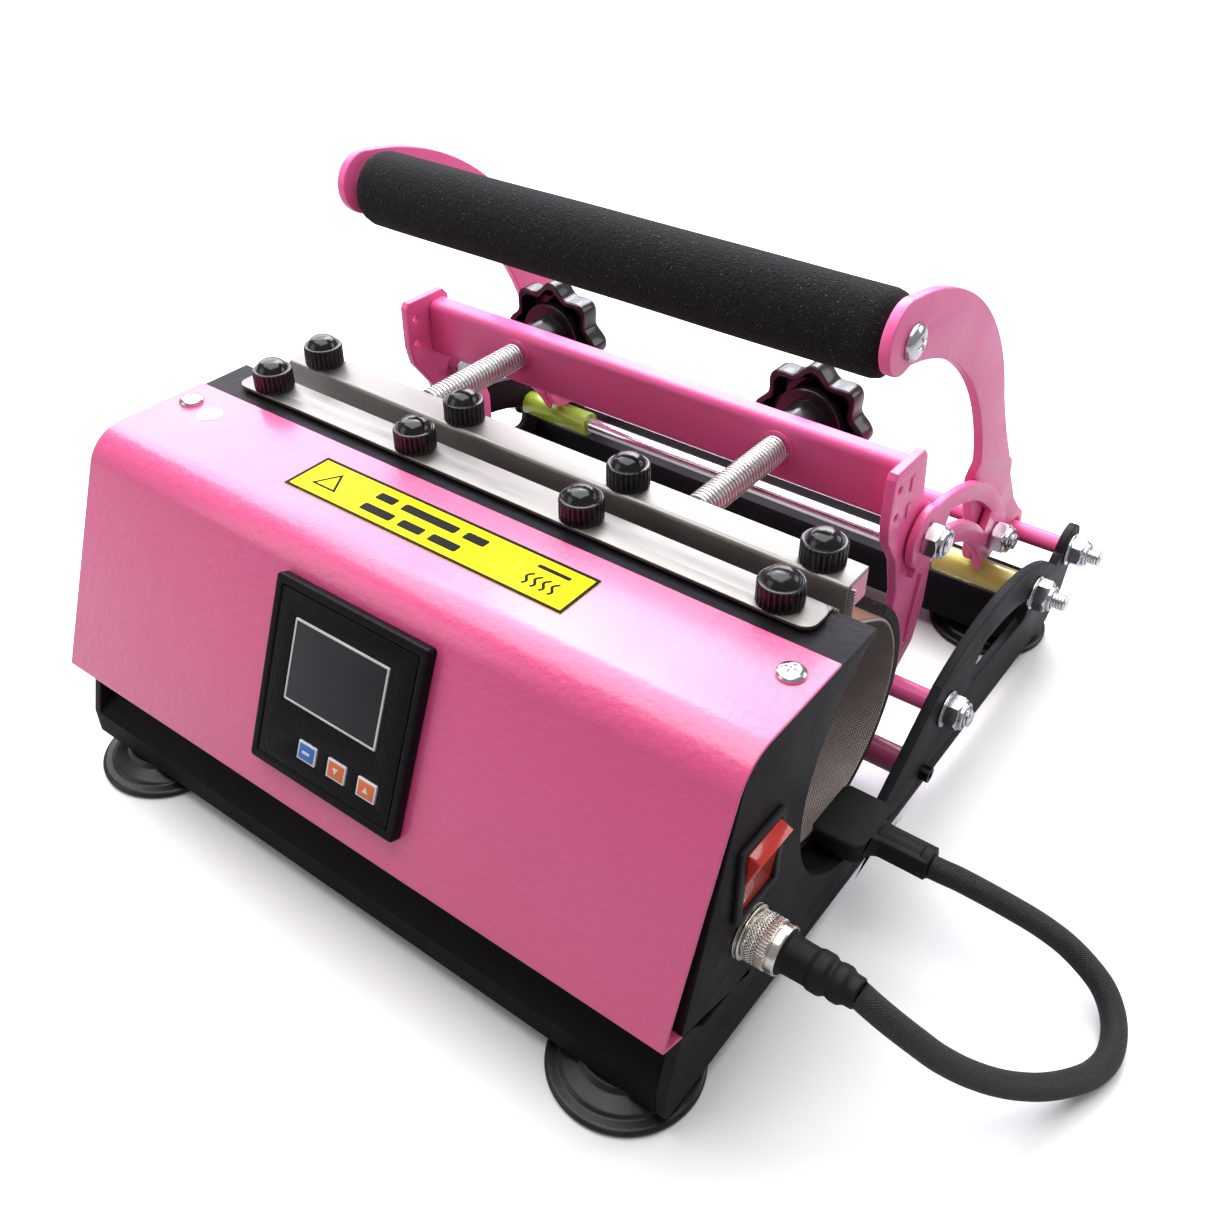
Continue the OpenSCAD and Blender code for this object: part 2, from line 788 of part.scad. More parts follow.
// C-shaped upper part of a handle arm, down to just above the link
module handle_upper_outline() {
    union() {
        translate([-8, 214.7]) circle(12.7);
        intersection() {
            difference() {
                translate([-17.5, 99.5]) circle(128.1, $fn = 128);
                translate([-22.9, 87.3]) circle(117.5, $fn = 128);
            }
            outline([[-8, 190], [-8, 260], [150, 260], [150, 149], [100.6, 149], [92, 130], [70, 130]]);
        }
        difference() {
            outline([
                [100.5, 149.4], [106.6, 138.5], [114, 126.4], [124, 111.9], [130.5, 102.5], [125, 94],
                [100, 104], [90.2, 117], [86, 130], [90, 140]
            ]);
            translate([-22.9, 87.3]) circle(117.5, $fn = 128);
            translate([40.2, 14.6]) circle(113.5, $fn = 128);
        }
    }
}

// Lower part: it carries the link and reaches back to the handle shaft
module handle_lower_outline() {
    union() {
        translate(handle_pivot) circle(10.5);
        translate(link_rear) circle(14);
        outline([
            [91.2, 119], [96, 120.8], [104.3, 117.2], [114.7, 110.5], [122, 108], [129.5, 106.2],
            [135.5, 99.5], [146.7, 86], [158, 69.5], [172, 56], [162, 38], [125, 55.8],
            [109.5, 74], [98.5, 92], [93.4, 106]
        ]);
    }
}

// Handle arm, its lower part on x0 and its upper part stepped towards +X. Both arms are the same part.
module handle_arm(x0) {
    color([0.88, 0.45, 0.68]) difference() {
        union() {
            slab(x0 + arm_step, jaw_t) handle_upper_outline();
            slab(x0, jaw_t) handle_lower_outline();
        }
        bar_x(handle_pivot, x0 - 1, x0 + jaw_t + 1, shaft_d / 2);
        bar_x(link_rear, x0 - 1, x0 + jaw_t + 1, 4);
        bar_x(grip_at, x0, x0 + arm_step + jaw_t + 1, 3.02);
    }
}

module handle_arm_right() {
    handle_arm(jaw_x0);
}

module handle_arm_left() {
    handle_arm(-jaw_x0 - jaw_t);
}

module handle_shaft() {
    color([0.89, 0.45, 0.66]) tube_x(handle_pivot, -in_w + 0.4, in_w - 0.4, shaft_d / 2, 4.05);
}

module handle_tube() {
    color([0.7, 0.7, 0.72]) tube_x(grip_at, grip_x0, grip_x1, 11, 3.02);
}

module foam_grip() {
    color([0.07, 0.07, 0.07]) tube_x(grip_at, grip_x0 + 1, grip_x1 - 1, grip_d / 2, 11);
}

module handle_screws() {
    color([0.85, 0.85, 0.87]) {
        bar_x(grip_at, grip_x0 - jaw_t, grip_x0 + 20, 3);
        bar_x(grip_at, grip_x1 - 20, grip_x1 + jaw_t, 3);
        translate([grip_x1 + jaw_t, grip_at[0], grip_at[1]]) rotate([0, 90, 0]) domed_head(6.4, 3.4);
        translate([grip_x0 - jaw_t, grip_at[0], grip_at[1]]) rotate([0, -90, 0]) domed_head(6.4, 3.4);
    }
}

module handle_link_bolts() {
    x = link_x0 + link_t + 0.3;
    color([0.82, 0.82, 0.84]) both_sides() {
        hex_x(link_rear, jaw_x0 - 5.5, jaw_x0, 13);
        bar_x(link_rear, jaw_x0 - eps, x + 10, 4);
        hex_x(link_rear, x, x + 6, 13);
        bar_x(link_rear, x + 6 - eps, x + 8, 5.8);
    }
}

module link_outline() {
    chord = link_rear - link_front;
    half = norm(chord) / 2;
    rise = 23.5;
    arc_r = (half * half + 10.5 * 10.5) / 21;
    translate((link_front + link_rear) / 2) rotate(atan2(chord[1], chord[0])) difference() {
        union() {
            intersection() {
                difference() {
                    translate([0, rise - arc_r]) circle(arc_r, $fn = 128);
                    translate([0, rise - arc_r]) circle(arc_r - 26.3, $fn = 128);
                }
                translate([-half, -30]) square([2 * half, 80]);
            }
            for (sx = [-1, 1]) translate([sx * half, 0]) circle(13);
        }
        intersection() {
            difference() {
                translate([0, rise - arc_r]) circle(arc_r - 8, $fn = 128);
                translate([0, rise - arc_r]) circle(arc_r - 17, $fn = 128);
            }
            translate([-30, -30]) square([60, 80]);
        }
        for (sx = [-1, 1]) translate([sx * half, 0]) circle(4.05);
    }
}

module handle_links() {
    color([0.87, 0.45, 0.66]) both_sides() slab(link_x0, link_t) link_outline();
}

module link_nuts() {
    x = link_x0 + link_t;
    color([0.82, 0.82, 0.84]) both_sides() {
        bar_x(link_front, link_x0, x + 9, 4.05);
        hex_x(link_front, x, x + 6, 13);
        bar_x(link_front, x + 6 - eps, x + 8, 5.8);
    }
}

side_plate_left();
side_plate_right();
front_beam();
rear_beam();
rubber_feet();
foot_screws();
control_cover();
top_plate();
cradle_wall();
cover_screws();
caution_label();
front_clamp_strip();
front_clamp_studs();
controller_housing();
display_window();
set_button();
down_button();
up_button();
switch_housing();
power_rocker();
cable_socket();
coupling_ring();
connector_boot();
heater_cable();
heater_boot();
heater_mat();
power_inlet();
spacer_tube();
spacer_screws();
bumper_rod();
bumper_sleeves();
pivot_rods();
frame_nuts();
thumb_nut_front(0);  // thumb_nut_front_1
thumb_nut_front(1);  // thumb_nut_front_2
thumb_nut_front(2);  // thumb_nut_front_3
thumb_nut_front(3);  // thumb_nut_front_4
thumb_nut_rear(0);  // thumb_nut_rear_1
thumb_nut_rear(1);  // thumb_nut_rear_2
thumb_nut_rear(2);  // thumb_nut_rear_3
thumb_nut_rear(3);  // thumb_nut_rear_4
handle_shaft();
handle_arm_left();
handle_arm_right();
handle_tube();
foam_grip();
handle_screws();
handle_link_bolts();
handle_links();
link_nuts();
jaw_shaft();
jaw_arm_left();
jaw_arm_right();
jaw_link_bolts();
crossbar();
rear_clamp_bar();
rear_clamp_strip();
pressure_springs();
star_knob_left();
star_knob_right();
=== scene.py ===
"""Looks for the mug heat press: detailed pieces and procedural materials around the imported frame."""

from math import cos, degrees, dist, pi, radians, sin, sqrt, tan

import bmesh
import bpy
from mathutils import Matrix, Vector, geometry


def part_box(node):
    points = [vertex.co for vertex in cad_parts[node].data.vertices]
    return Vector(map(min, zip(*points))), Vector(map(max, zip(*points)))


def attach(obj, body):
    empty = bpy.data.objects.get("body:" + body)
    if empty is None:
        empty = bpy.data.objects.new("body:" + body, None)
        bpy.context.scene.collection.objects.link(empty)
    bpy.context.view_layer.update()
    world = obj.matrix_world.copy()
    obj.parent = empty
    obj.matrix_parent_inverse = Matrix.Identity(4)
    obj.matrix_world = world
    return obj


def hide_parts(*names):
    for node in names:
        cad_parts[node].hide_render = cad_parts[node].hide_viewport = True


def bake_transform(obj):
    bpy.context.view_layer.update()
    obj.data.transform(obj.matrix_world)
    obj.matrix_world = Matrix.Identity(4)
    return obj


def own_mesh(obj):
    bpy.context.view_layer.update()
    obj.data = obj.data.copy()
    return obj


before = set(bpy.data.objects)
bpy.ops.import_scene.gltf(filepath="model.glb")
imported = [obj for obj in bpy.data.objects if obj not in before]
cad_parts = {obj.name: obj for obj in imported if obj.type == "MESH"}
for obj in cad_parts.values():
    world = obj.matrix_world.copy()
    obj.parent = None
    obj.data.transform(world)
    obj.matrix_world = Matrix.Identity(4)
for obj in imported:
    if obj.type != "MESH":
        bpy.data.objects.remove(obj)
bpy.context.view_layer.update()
X, Y, Z = Vector((1, 0, 0)), Vector((0, 1, 0)), Vector((0, 0, 1))
LEAN = radians(21.7)  # of the control panel, back from upright
OUT = Vector((0, -cos(LEAN), sin(LEAN)))  # out of the control panel
UP = Vector((0, sin(LEAN), cos(LEAN)))  # up the control panel


def mm(*p):
    return Vector(p) / 1000


def ends(node):
    """Lowest corner, highest corner and middle of a CAD node."""
    lo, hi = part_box(node)
    return lo, hi, (lo + hi) / 2


def basis(origin, z, x):
    """Local z along z, local x close to x, at origin."""
    z = Vector(z).normalized()
    y = z.cross(Vector(x)).normalized()
    x = y.cross(z)
    o = Vector(origin)
    return Matrix(((x.x, y.x, z.x, o.x), (x.y, y.y, z.y, o.y), (x.z, y.z, z.z, o.z), (0, 0, 0, 1)))


def along_x(origin, sign=1):
    """Local (x, y, z) becomes (Y, Z, X), or (Y, -Z, -X) for sign -1."""
    return basis(origin, (sign, 0, 0), (0, 1, 0))


def across(x, at, sign=1):
    """along_x() from x, level with a point."""
    return along_x((x, at.y, at.z), sign)


def moved(x, y, z):
    return Matrix.Translation((x, y, z))


def lift(z):
    return moved(0, 0, z)


def spin(angle):
    return Matrix.Rotation(angle, 4, "Z")


# ---------------------------------------------------------------- materials


class Nodes:
    """A short way to write shader trees."""

    def __init__(self, name):
        self.m = bpy.data.materials.new(name)
        self.m.use_nodes = True
        self.t = self.m.node_tree
        self.b = self.t.nodes["Principled BSDF"]
        self.coord = self.t.nodes.new("ShaderNodeTexCoord").outputs["Object"]

    def link(self, a, b):
        self.t.links.new(a, b)

    def new(self, kind, ins=(), **props):
        n = self.t.nodes.new("ShaderNode" + kind)
        for k, v in props.items():
            setattr(n, k, v)
        for k, v in dict(ins).items():
            if isinstance(v, bpy.types.NodeSocket):
                self.link(v, n.inputs[k])
            else:
                n.inputs[k].default_value = v
        return n

    def mapped(self, scale=(1, 1, 1), rotation=(0, 0, 0), coord=None):
        ins = {"Vector": coord or self.coord, "Scale": scale, "Rotation": rotation}
        return self.new("Mapping", ins).outputs[0]

    def noise(self, scale, detail=3.0, vector=None, rough=0.55):
        ins = {"Scale": scale, "Detail": detail, "Roughness": rough, "Vector": vector or self.coord}
        return self.new("TexNoise", ins).outputs["Fac"]

    def cells(self, scale):
        return self.new("TexVoronoi", {"Scale": scale, "Vector": self.coord}).outputs["Distance"]

    def wave(self, scale, vector):
        return self.new("TexWave", {"Scale": scale, "Vector": vector, "Detail": 1.0}).outputs["Fac"]

    def times(self, a, b):
        return self.new("Math", {0: a, 1: b}, operation="MULTIPLY").outputs[0]

    def ramp(self, fac, low, high, a=0.0, b=1.0):
        ins = {"Value": fac, "From Min": a, "From Max": b, "To Min": low, "To Max": high}
        return self.new("MapRange", ins).outputs["Result"]

    def mix(self, fac, a, b):
        n = self.t.nodes.new("ShaderNodeMix")
        n.data_type = "RGBA"
        for i, v in ((0, fac), (6, a), (7, b)):
            if isinstance(v, bpy.types.NodeSocket):
                self.link(v, n.inputs[i])
            elif i == 0:
                n.inputs[i].default_value = v
            else:
                n.inputs[i].default_value = (*v[:3], 1)
        return n.outputs[2]

    def bump(self, height, distance, strength=1.0, normal=None):
        ins = {"Height": height, "Distance": distance, "Strength": strength}
        if normal is not None:
            ins["Normal"] = normal
        return self.new("Bump", ins).outputs[0]

    def edge(self, radius):
        return self.new("Bevel", {"Radius": radius}, samples=4).outputs[0]

    def set(self, **values):
        for k, v in values.items():
            socket = self.b.inputs[k.replace("_", " ")]
            if isinstance(v, bpy.types.NodeSocket):
                self.link(v, socket)
            elif socket.type == "RGBA":
                socket.default_value = (*v[:3], 1)
            else:
                socket.default_value = v
        return self.m


def shade(c, k):
    return tuple(min(1, x * k) for x in c[:3])


def powder(name, color, rough=0.42, peel=1.0, coat=0.0, edge=0.0005, spec=0.5):
    """Powder paint: orange-peel ripples, fine grit, and slight tone and gloss changes."""
    n = Nodes(name)
    tone = n.noise(9, 4)
    ripple = n.noise(330, 2.5)
    grit = n.noise(1900, 2)
    dust = n.ramp(n.noise(620, 2), 0, 1, 0.72, 0.78)
    color_now = n.mix(n.ramp(tone, 0.1, 0.9, 0.3, 0.7), shade(color, 0.95), shade(color, 1.05))
    color_now = n.mix(n.times(dust, 0.1), color_now, shade(color, 2.2))
    normal = n.edge(edge) if edge else None
    normal = n.bump(ripple, 0.00055 * peel, 0.55, normal)
    normal = n.bump(grit, 0.00008 * peel, 0.5, normal)
    return n.set(Base_Color=color_now, Roughness=n.ramp(n.noise(40, 3), rough - 0.05, rough + 0.07, 0.3, 0.7),
                 Normal=normal, Coat_Weight=coat, Coat_Roughness=0.18, Specular_IOR_Level=spec)


def metal(name, color, rough=0.2, brushed=None, edge=0.0003, spots=0.05):
    """Metal with smudged gloss; brushed is the coordinate scale that draws the scratches out."""
    n = Nodes(name)
    smudge = n.noise(60, 4)
    lines = n.noise(160, 4, n.mapped(brushed), 0.7) if brushed else n.noise(2400, 2)
    color_now = n.mix(n.ramp(smudge, 0, 1, 0.35, 0.75), shade(color, 0.86), color)
    drawn = n.times(n.ramp(lines, 0, 1, 0.35, 0.7), 0.28 if brushed else 0.06)
    color_now = n.mix(drawn, color_now, shade(color, 0.62))
    normal = n.bump(lines, 0.00012 if brushed else 0.00003, 0.45, n.edge(edge))
    return n.set(Base_Color=color_now, Metallic=1.0, Normal=normal,
                 Roughness=n.ramp(smudge, rough, rough + spots + 0.1, 0.3, 0.75))


def plastic(name, color, rough=0.4, grain=1500, depth=0.00006, coat=0.0, edge=0.0003, spec=0.5, **more):
    """Moulded plastic, rubber or print with a fine grain; more sets shader sockets."""
    n = Nodes(name)
    fine, wide = n.noise(grain, 3), n.noise(45, 3)
    color_now = n.mix(n.ramp(wide, 0, 1, 0.3, 0.7), shade(color, 0.88), shade(color, 1.1))
    normal = n.bump(fine, depth, 0.6, n.edge(edge) if edge else None)
    return n.set(Base_Color=color_now, Roughness=n.ramp(wide, rough - 0.05, rough + 0.06, 0.3, 0.7), Normal=normal,
                 Coat_Weight=coat, Specular_IOR_Level=spec, **more)


def foam(name, color):
    """Closed-cell foam: pinholes and pale specks."""
    n = Nodes(name)
    holes = n.cells(1500)
    soft = n.noise(700, 4)
    specks = n.ramp(n.noise(1500, 2), 0, 1, 0.66, 0.74)
    color_now = n.mix(n.ramp(soft, 0, 1, 0.3, 0.75), shade(color, 0.7), shade(color, 1.5))
    color_now = n.mix(n.times(specks, 0.22), color_now, (0.55, 0.55, 0.56))
    normal = n.bump(soft, 0.0006, 0.8)
    normal = n.bump(holes, 0.0004, 0.8, normal)
    return n.set(Base_Color=color_now, Roughness=0.95, Normal=normal, Specular_IOR_Level=0.15, Sheen_Weight=0.05)


def woven(name, a, b, scale, depth, rough=0.7, uv=True, metallic=0.0):
    """Fabric or braid: two sets of crossing threads."""
    n = Nodes(name)
    coord = n.new("UVMap", uv_map="UVMap").outputs[0] if uv else n.coord
    one = n.wave(scale, n.mapped((1, 1, 1), (0, 0, radians(45)), coord))
    two = n.wave(scale, n.mapped((1, 1, 1), (0, 0, radians(-45)), coord))
    threads = n.times(one, two)
    soft = n.noise(90, 4)
    color_now = n.mix(n.ramp(threads, 0, 1, 0.05, 0.6), a, b)
    color_now = n.mix(n.ramp(soft, 0.0, 0.35, 0.3, 0.7), color_now, shade(a, 0.8))
    return n.set(Base_Color=color_now, Roughness=rough, Normal=n.bump(threads, depth, 0.8), Metallic=metallic)


M = {
    "pink": powder("pink_powder_coat", (0.66, 0.076, 0.225), 0.4, 1.25, 0.7),
    "pink_cast": powder("pink_smooth_coat", (0.86, 0.128, 0.355), 0.32, 0.45, 0.12, spec=0.35),
    "pink_dark": powder("pink_deep_coat", (0.36, 0.05, 0.14), 0.36, 0.4, 0.2),
    "black": powder("black_powder_coat", (0.0085, 0.008, 0.0105), 0.5, 0.8, spec=0.14),
    "black_low": powder("black_powder_low", (0.006, 0.0057, 0.0078), 0.55, 0.8, spec=0.08),
    "strip": metal("brushed_strip", (0.3, 0.288, 0.268), 0.38, (0.02, 1, 1)),
    "zinc": metal("bright_zinc", (0.74, 0.74, 0.76), 0.12),
    "rod": metal("polished_rod", (0.82, 0.82, 0.83), 0.1, (0.03, 1, 1)),
    "spring": metal("spring_wire", (0.78, 0.77, 0.75), 0.24, edge=0.0, spots=0.0),
    "nickel": metal("nickel_plate", (0.82, 0.79, 0.72), 0.13),
    "black_oxide": metal("black_oxide", (0.035, 0.035, 0.038), 0.3),
    "gloss": plastic("glossy_black", (0.007, 0.0068, 0.0072), 0.17, 300, 0.00008, 0.15, spec=0.4),
    "matte": plastic("moulded_black", (0.01, 0.01, 0.011), 0.5, spec=0.3),
    "bezel": plastic("bezel_black", (0.0035, 0.0035, 0.0045), 0.42, 700, 0.0004, spec=0.1),
    "rubber": plastic("foot_rubber", (0.008, 0.008, 0.009), 0.36, 420, 0.0001, spec=0.4),
    "silicone": plastic("soft_silicone", (0.0065, 0.0065, 0.007), 0.6, 900, 0.00015, spec=0.25),
    "nylon": plastic("blue_nylon", (0.03, 0.1, 0.32), 0.4),
    "blue": plastic("blue_key", (0.02, 0.13, 0.42), 0.42, 700),
    "orange": plastic("orange_key", (0.62, 0.13, 0.035), 0.42, 700),
    "yellow": plastic("yellow_film", (0.92, 0.86, 0.0), 0.42, 500, 0.00004, edge=0.0, spec=0.06),
    "black_ink": plastic("black_print", (0.007, 0.007, 0.008), 0.6, 800, 0.00003, edge=0.0, spec=0.08),
    "sticker": plastic("white_sticker", (0.83, 0.82, 0.84), 0.5, 600, 0.00004, edge=0.0),
    "screen": plastic("display_screen", (0.024, 0.0235, 0.028), 0.34, 500, 0.00008, edge=0.0, spec=0.2),
    "screen_edge": plastic("display_edge", (0.52, 0.55, 0.5), 0.4, 600, 0.00003, edge=0.0),
    "red": plastic("red_rocker", (0.85, 0.05, 0.035), 0.16, 250, 0.00004, 0.6, Transmission_Weight=0.35, IOR=1.46),
    "amber": plastic("amber_sleeve", (0.74, 0.68, 0.17), 0.16, 350, 0.00008, 0.4, Transmission_Weight=0.5, IOR=1.42),
    "lime": plastic("lime_sleeve", (0.5, 0.68, 0.08), 0.18, 350, 0.00008, 0.4, Transmission_Weight=0.5, IOR=1.42),
    "gloss_brown": plastic("glossy_brown_black", (0.01, 0.0085, 0.0085), 0.24, 260, 0.0001, 0.2, spec=0.4),
    "key_edge": plastic("key_silver", (0.6, 0.6, 0.61), 0.35, 700, 0.00003, edge=0.0),
    "foam": foam("grip_foam", (0.0068, 0.0068, 0.0077)),
    "sponge": foam("mat_sponge", (0.02, 0.02, 0.021)),
    "braid": woven("cable_braid", (0.003, 0.003, 0.0035), (0.03, 0.03, 0.032), 0.44, 0.0008, 0.5),
    "mat": woven("mat_skin", (0.27, 0.21, 0.2), (0.78, 0.69, 0.66), 0.35, 0.0003, 0.32, metallic=0.5),
    "copper": metal("foil_edge", (0.36, 0.21, 0.14), 0.45),
    "steel": metal("inner_steel", (0.62, 0.62, 0.63), 0.3),
}

# ---------------------------------------------------------------- meshes


def piece(name, mesh, material, body, node=None, slot=None, angle=32):
    """A finished mesh that rides on a CAD body and stands for its node."""
    for m in [material] if isinstance(material, str) else material:
        mesh.materials.append(M[m])
    mesh.shade_smooth()
    mesh.set_sharp_from_angle(angle=radians(angle))
    o = bpy.data.objects.new(name, mesh)
    bpy.context.scene.collection.objects.link(o)
    if body:
        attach(o, body)
    if node:
        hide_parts(node)
    return o


def edited(change, *meshes):
    """A mesh made by change(b) from a bmesh b that holds the given meshes."""
    b = bmesh.new()
    for me in meshes:
        b.from_mesh(me)
    change(b)
    out = bpy.data.meshes.new("m")
    b.to_mesh(out)
    b.free()
    return out


def faced_out(b):
    bmesh.ops.recalc_face_normals(b, faces=b.faces)


def joined(meshes):
    """One mesh of several separate shells, keeping each one's material numbers."""
    return edited(lambda b: None, *meshes)


def mesh_from(verts, faces, matrix=Matrix.Identity(4)):
    me = bpy.data.meshes.new("m")
    me.from_pydata([tuple(v) for v in verts], [], faces)
    me.transform(matrix)
    return edited(faced_out, me)


def ease(t):
    """Smooth step from 0 to 1."""
    t = max(0.0, min(1.0, t))
    return t * t * (3 - 2 * t)


def polar(r, a, h):
    return Vector((r * cos(a), r * sin(a), h))


def angles(segments):
    return [2 * pi * k / segments for k in range(segments)]


def loft(rings, matrix=Matrix.Identity(4), caps=True, closed=False, uv=None):
    """Skin over rings with the same number of points. closed joins the last ring to the first, and
    uv is the width round a ring and the distance along at each ring."""
    n = len(rings[0])
    verts = [p for r in rings for p in r]
    faces, count = [], len(rings)
    for i in range(count if closed else count - 1):
        a, c = i * n, ((i + 1) % count) * n
        faces += [(a + k, a + (k + 1) % n, c + (k + 1) % n, c + k) for k in range(n)]
    if caps and not closed:
        faces += [tuple(range(n - 1, -1, -1)), tuple(range((count - 1) * n, count * n))]
    me = mesh_from(verts, faces, matrix)
    if uv:
        layer = me.uv_layers.new(name="UVMap")
        for f in me.polygons:
            ks = [me.loops[i].vertex_index % n for i in f.loop_indices]
            wrap = max(ks) - min(ks) > 1 and len(ks) == 4
            for i in f.loop_indices:
                v = me.loops[i].vertex_index
                k = v % n
                layer.data[i].uv = ((k + (n if wrap and k == 0 else 0)) / n * uv[0], uv[1][v // n])
    return me


def lathe(profile, matrix, segments=64, wobble=lambda a, h, r: 1):
    """Turns (radius, height) points about local z, from one end to the other.
    wobble(angle, height, radius) scales the radius."""
    return loft([[polar(r * wobble(a, h, r), a, h) for a in angles(segments)] for r, h in profile], matrix)


def turned(profile, matrix, segments=96, wobble=lambda a, h, r: 1):
    """Turns a closed (radius, height) outline about local z: a ring with a hole."""
    rings = [[polar(r * wobble(a, h, r), a, h) for r, h in profile] for a in angles(segments)]
    return loft(rings, matrix, caps=False, closed=True)


def rounded(profile, radius, steps=4):
    """The open (r, h) line with its inner corners rounded."""
    out = [Vector((*profile[0], 0))]
    for a, b, c in zip(profile, profile[1:], profile[2:]):
        a, b, c = Vector((*a, 0)), Vector((*b, 0)), Vector((*c, 0))
        d = min(radius, (a - b).length * 0.49, (c - b).length * 0.49)
        p, q = b + (a - b).normalized() * d, b + (c - b).normalized() * d
        for i in range(steps + 1):
            t = i / steps
            out.append(p * (1 - t) ** 2 + b * (2 * t * (1 - t)) + q * t * t)
    out.append(Vector((*profile[-1], 0)))
    return [(v.x, v.y) for v in out]


def tube(matrix, length, outer, inner=None, soft=0.0006, segments=64):
    """Round bar or tube along local z with softened ends."""
    if inner is None:
        return lathe(rounded([(0.0001, 0), (outer, 0), (outer, length), (0.0001, length)], soft), matrix, segments)
    line = [(inner, 0), (outer, 0), (outer, length), (inner, length)]
    return turned(rounded(line[2:] + line[:3], soft)[1:-1], matrix, segments)


def block(size, matrix, soft=0.0005, steps=3):
    """Box with rounded edges, centred on the matrix."""
    def shape(b):
        bmesh.ops.create_cube(b, size=1)
        bmesh.ops.scale(b, vec=size, verts=b.verts)
        bmesh.ops.bevel(b, geom=b.edges[:] + b.verts[:], offset=soft, segments=steps, profile=0.5, affect="EDGES")

    me = edited(shape)
    me.transform(matrix)
    return me


SAME_POINT = 3e-5  # closer outline points would fold the rounded edge


def plate(loops, thickness, matrix, soft=0.0005, steps=2):
    """Flat sheet from 2D loops, the outer one and its holes, with rounded edges.
    Local z runs through it, from 0."""
    data = bpy.data.curves.new("c", "CURVE")
    data.dimensions, data.fill_mode = "2D", "BOTH"
    data.extrude, data.bevel_depth = thickness / 2 - soft, soft
    data.bevel_resolution, data.offset = steps, -soft
    for loop in loops:
        loop = [p for p, q in zip(loop, loop[-1:] + loop[:-1]) if dist(p, q) > SAME_POINT]
        s = data.splines.new("POLY")
        s.points.add(len(loop) - 1)
        for p, q in zip(s.points, loop):
            p.co = (q[0], q[1], 0, 1)
        s.use_cyclic_u = True
    o = bpy.data.objects.new("c", data)
    bpy.context.scene.collection.objects.link(o)
    dg = bpy.context.evaluated_depsgraph_get()
    me = bpy.data.meshes.new_from_object(o.evaluated_get(dg))
    bpy.data.objects.remove(o)

    def weld(b):
        bmesh.ops.remove_doubles(b, verts=b.verts, dist=1e-6)
        faced_out(b)

    me = edited(weld, me)
    me.transform(matrix @ lift(thickness / 2))
    return me


def arc(centre, r, a0, a1, steps=24):
    return [(centre[0] + r * cos(radians(a0 + (a1 - a0) * i / steps)),
             centre[1] + r * sin(radians(a0 + (a1 - a0) * i / steps))) for i in range(steps + 1)]


def loop_area(loop):
    return sum(a[0] * b[1] - a[1] * b[0] for a, b in zip(loop, loop[1:] + loop[:1])) / 2


def outlines(node, x, tol=2e-5, least=2e-6):
    """Boundary loops, as (y, z), of a CAD node's flat face on the plane x, the largest first.
    Loops with less than the least area are slivers and are left out."""
    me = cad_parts[node].data
    key = lambda v: (round(v.co.y, 6), round(v.co.z, 6))
    edges = {}
    for f in me.polygons:
        if all(abs(me.vertices[i].co.x - x) < tol for i in f.vertices):
            ks = [key(me.vertices[i]) for i in f.vertices]
            for a, b in zip(ks, ks[1:] + ks[:1]):
                edges[(a, b)] = True
    nexts = {}
    for a, b in edges:
        if (b, a) not in edges:
            nexts.setdefault(a, []).append(b)

    def after(p):
        q = nexts[p].pop()
        if not nexts[p]:
            del nexts[p]
        return q

    loops = []
    while nexts:
        loop = [next(iter(nexts))]
        p = after(loop[0])
        while p != loop[0] and p in nexts:
            loop.append(p)
            p = after(p)
        if len(loop) > 2:
            loops.append(loop)
    return sorted([l for l in loops if abs(loop_area(l)) > least], key=lambda l: -abs(loop_area(l)))


def mirrored(me):
    out = me.copy()
    out.transform(Matrix.Scale(-1, 4, X))
    out.flip_normals()
    return out


def thread(matrix, length, r, pitch=0.00125, depth=0.0007, segments=40):
    """Threaded stud end along local z, a little thinner in its last turn."""
    rings, steps = [], 8
    count = int(length / pitch * steps)
    for i in range(count + 1):
        h = length * i / count
        fade = 0.86 + 0.14 * min(1.0, (length - h) / pitch)
        cuts = [abs(2 * ((h / pitch - k / segments) % 1.0) - 1) for k in range(segments)]
        rings.append([polar((r - depth * cut) * fade, a, h) for cut, a in zip(cuts, angles(segments))])
    return loft(rings, matrix)


ROD_R, FLATS, CHAMFER, HEAD_H = 0.004, 0.013, 0.0009, 0.0055  # of M8 rods, nuts and bolt heads


def hexagon(matrix, height, turn=0.0, both_cut=True):
    """M8 hexagon head or nut on local z = 0, its corners chamfered at the top, or at both ends."""
    half = FLATS / 2
    radius = lambda a: half / cos((a + pi / 6) % (pi / 3) - pi / 6)
    low, corner = half * 0.985, half / cos(pi / 6)
    steps = [i / 4 for i in range(5)]
    levels = [(CHAMFER * t, low + (corner - low) * t if both_cut else corner) for t in steps]
    levels += [(height - CHAMFER * t, low + (corner - low) * t) for t in steps[::-1]]
    return loft([[polar(min(radius(a), limit), a + turn, h) for a in angles(96)] for h, limit in levels], matrix)


def assign(me, index):
    for f in me.polygons:
        f.material_index = index
    return me


def smooth_path(points, steps=8):
    """Catmull-Rom curve through the points."""
    p = [points[0] * 2 - points[1], *points, points[-1] * 2 - points[-2]]
    out = []
    for a, b, c, d in zip(p, p[1:], p[2:], p[3:]):
        for i in range(steps):
            t = i / steps
            out.append(0.5 * (2 * b + (c - a) * t + (2 * a - 5 * b + 4 * c - d) * t * t
                              + (3 * b - a - 3 * c + d) * t ** 3))
    return out + [points[-1].copy()]


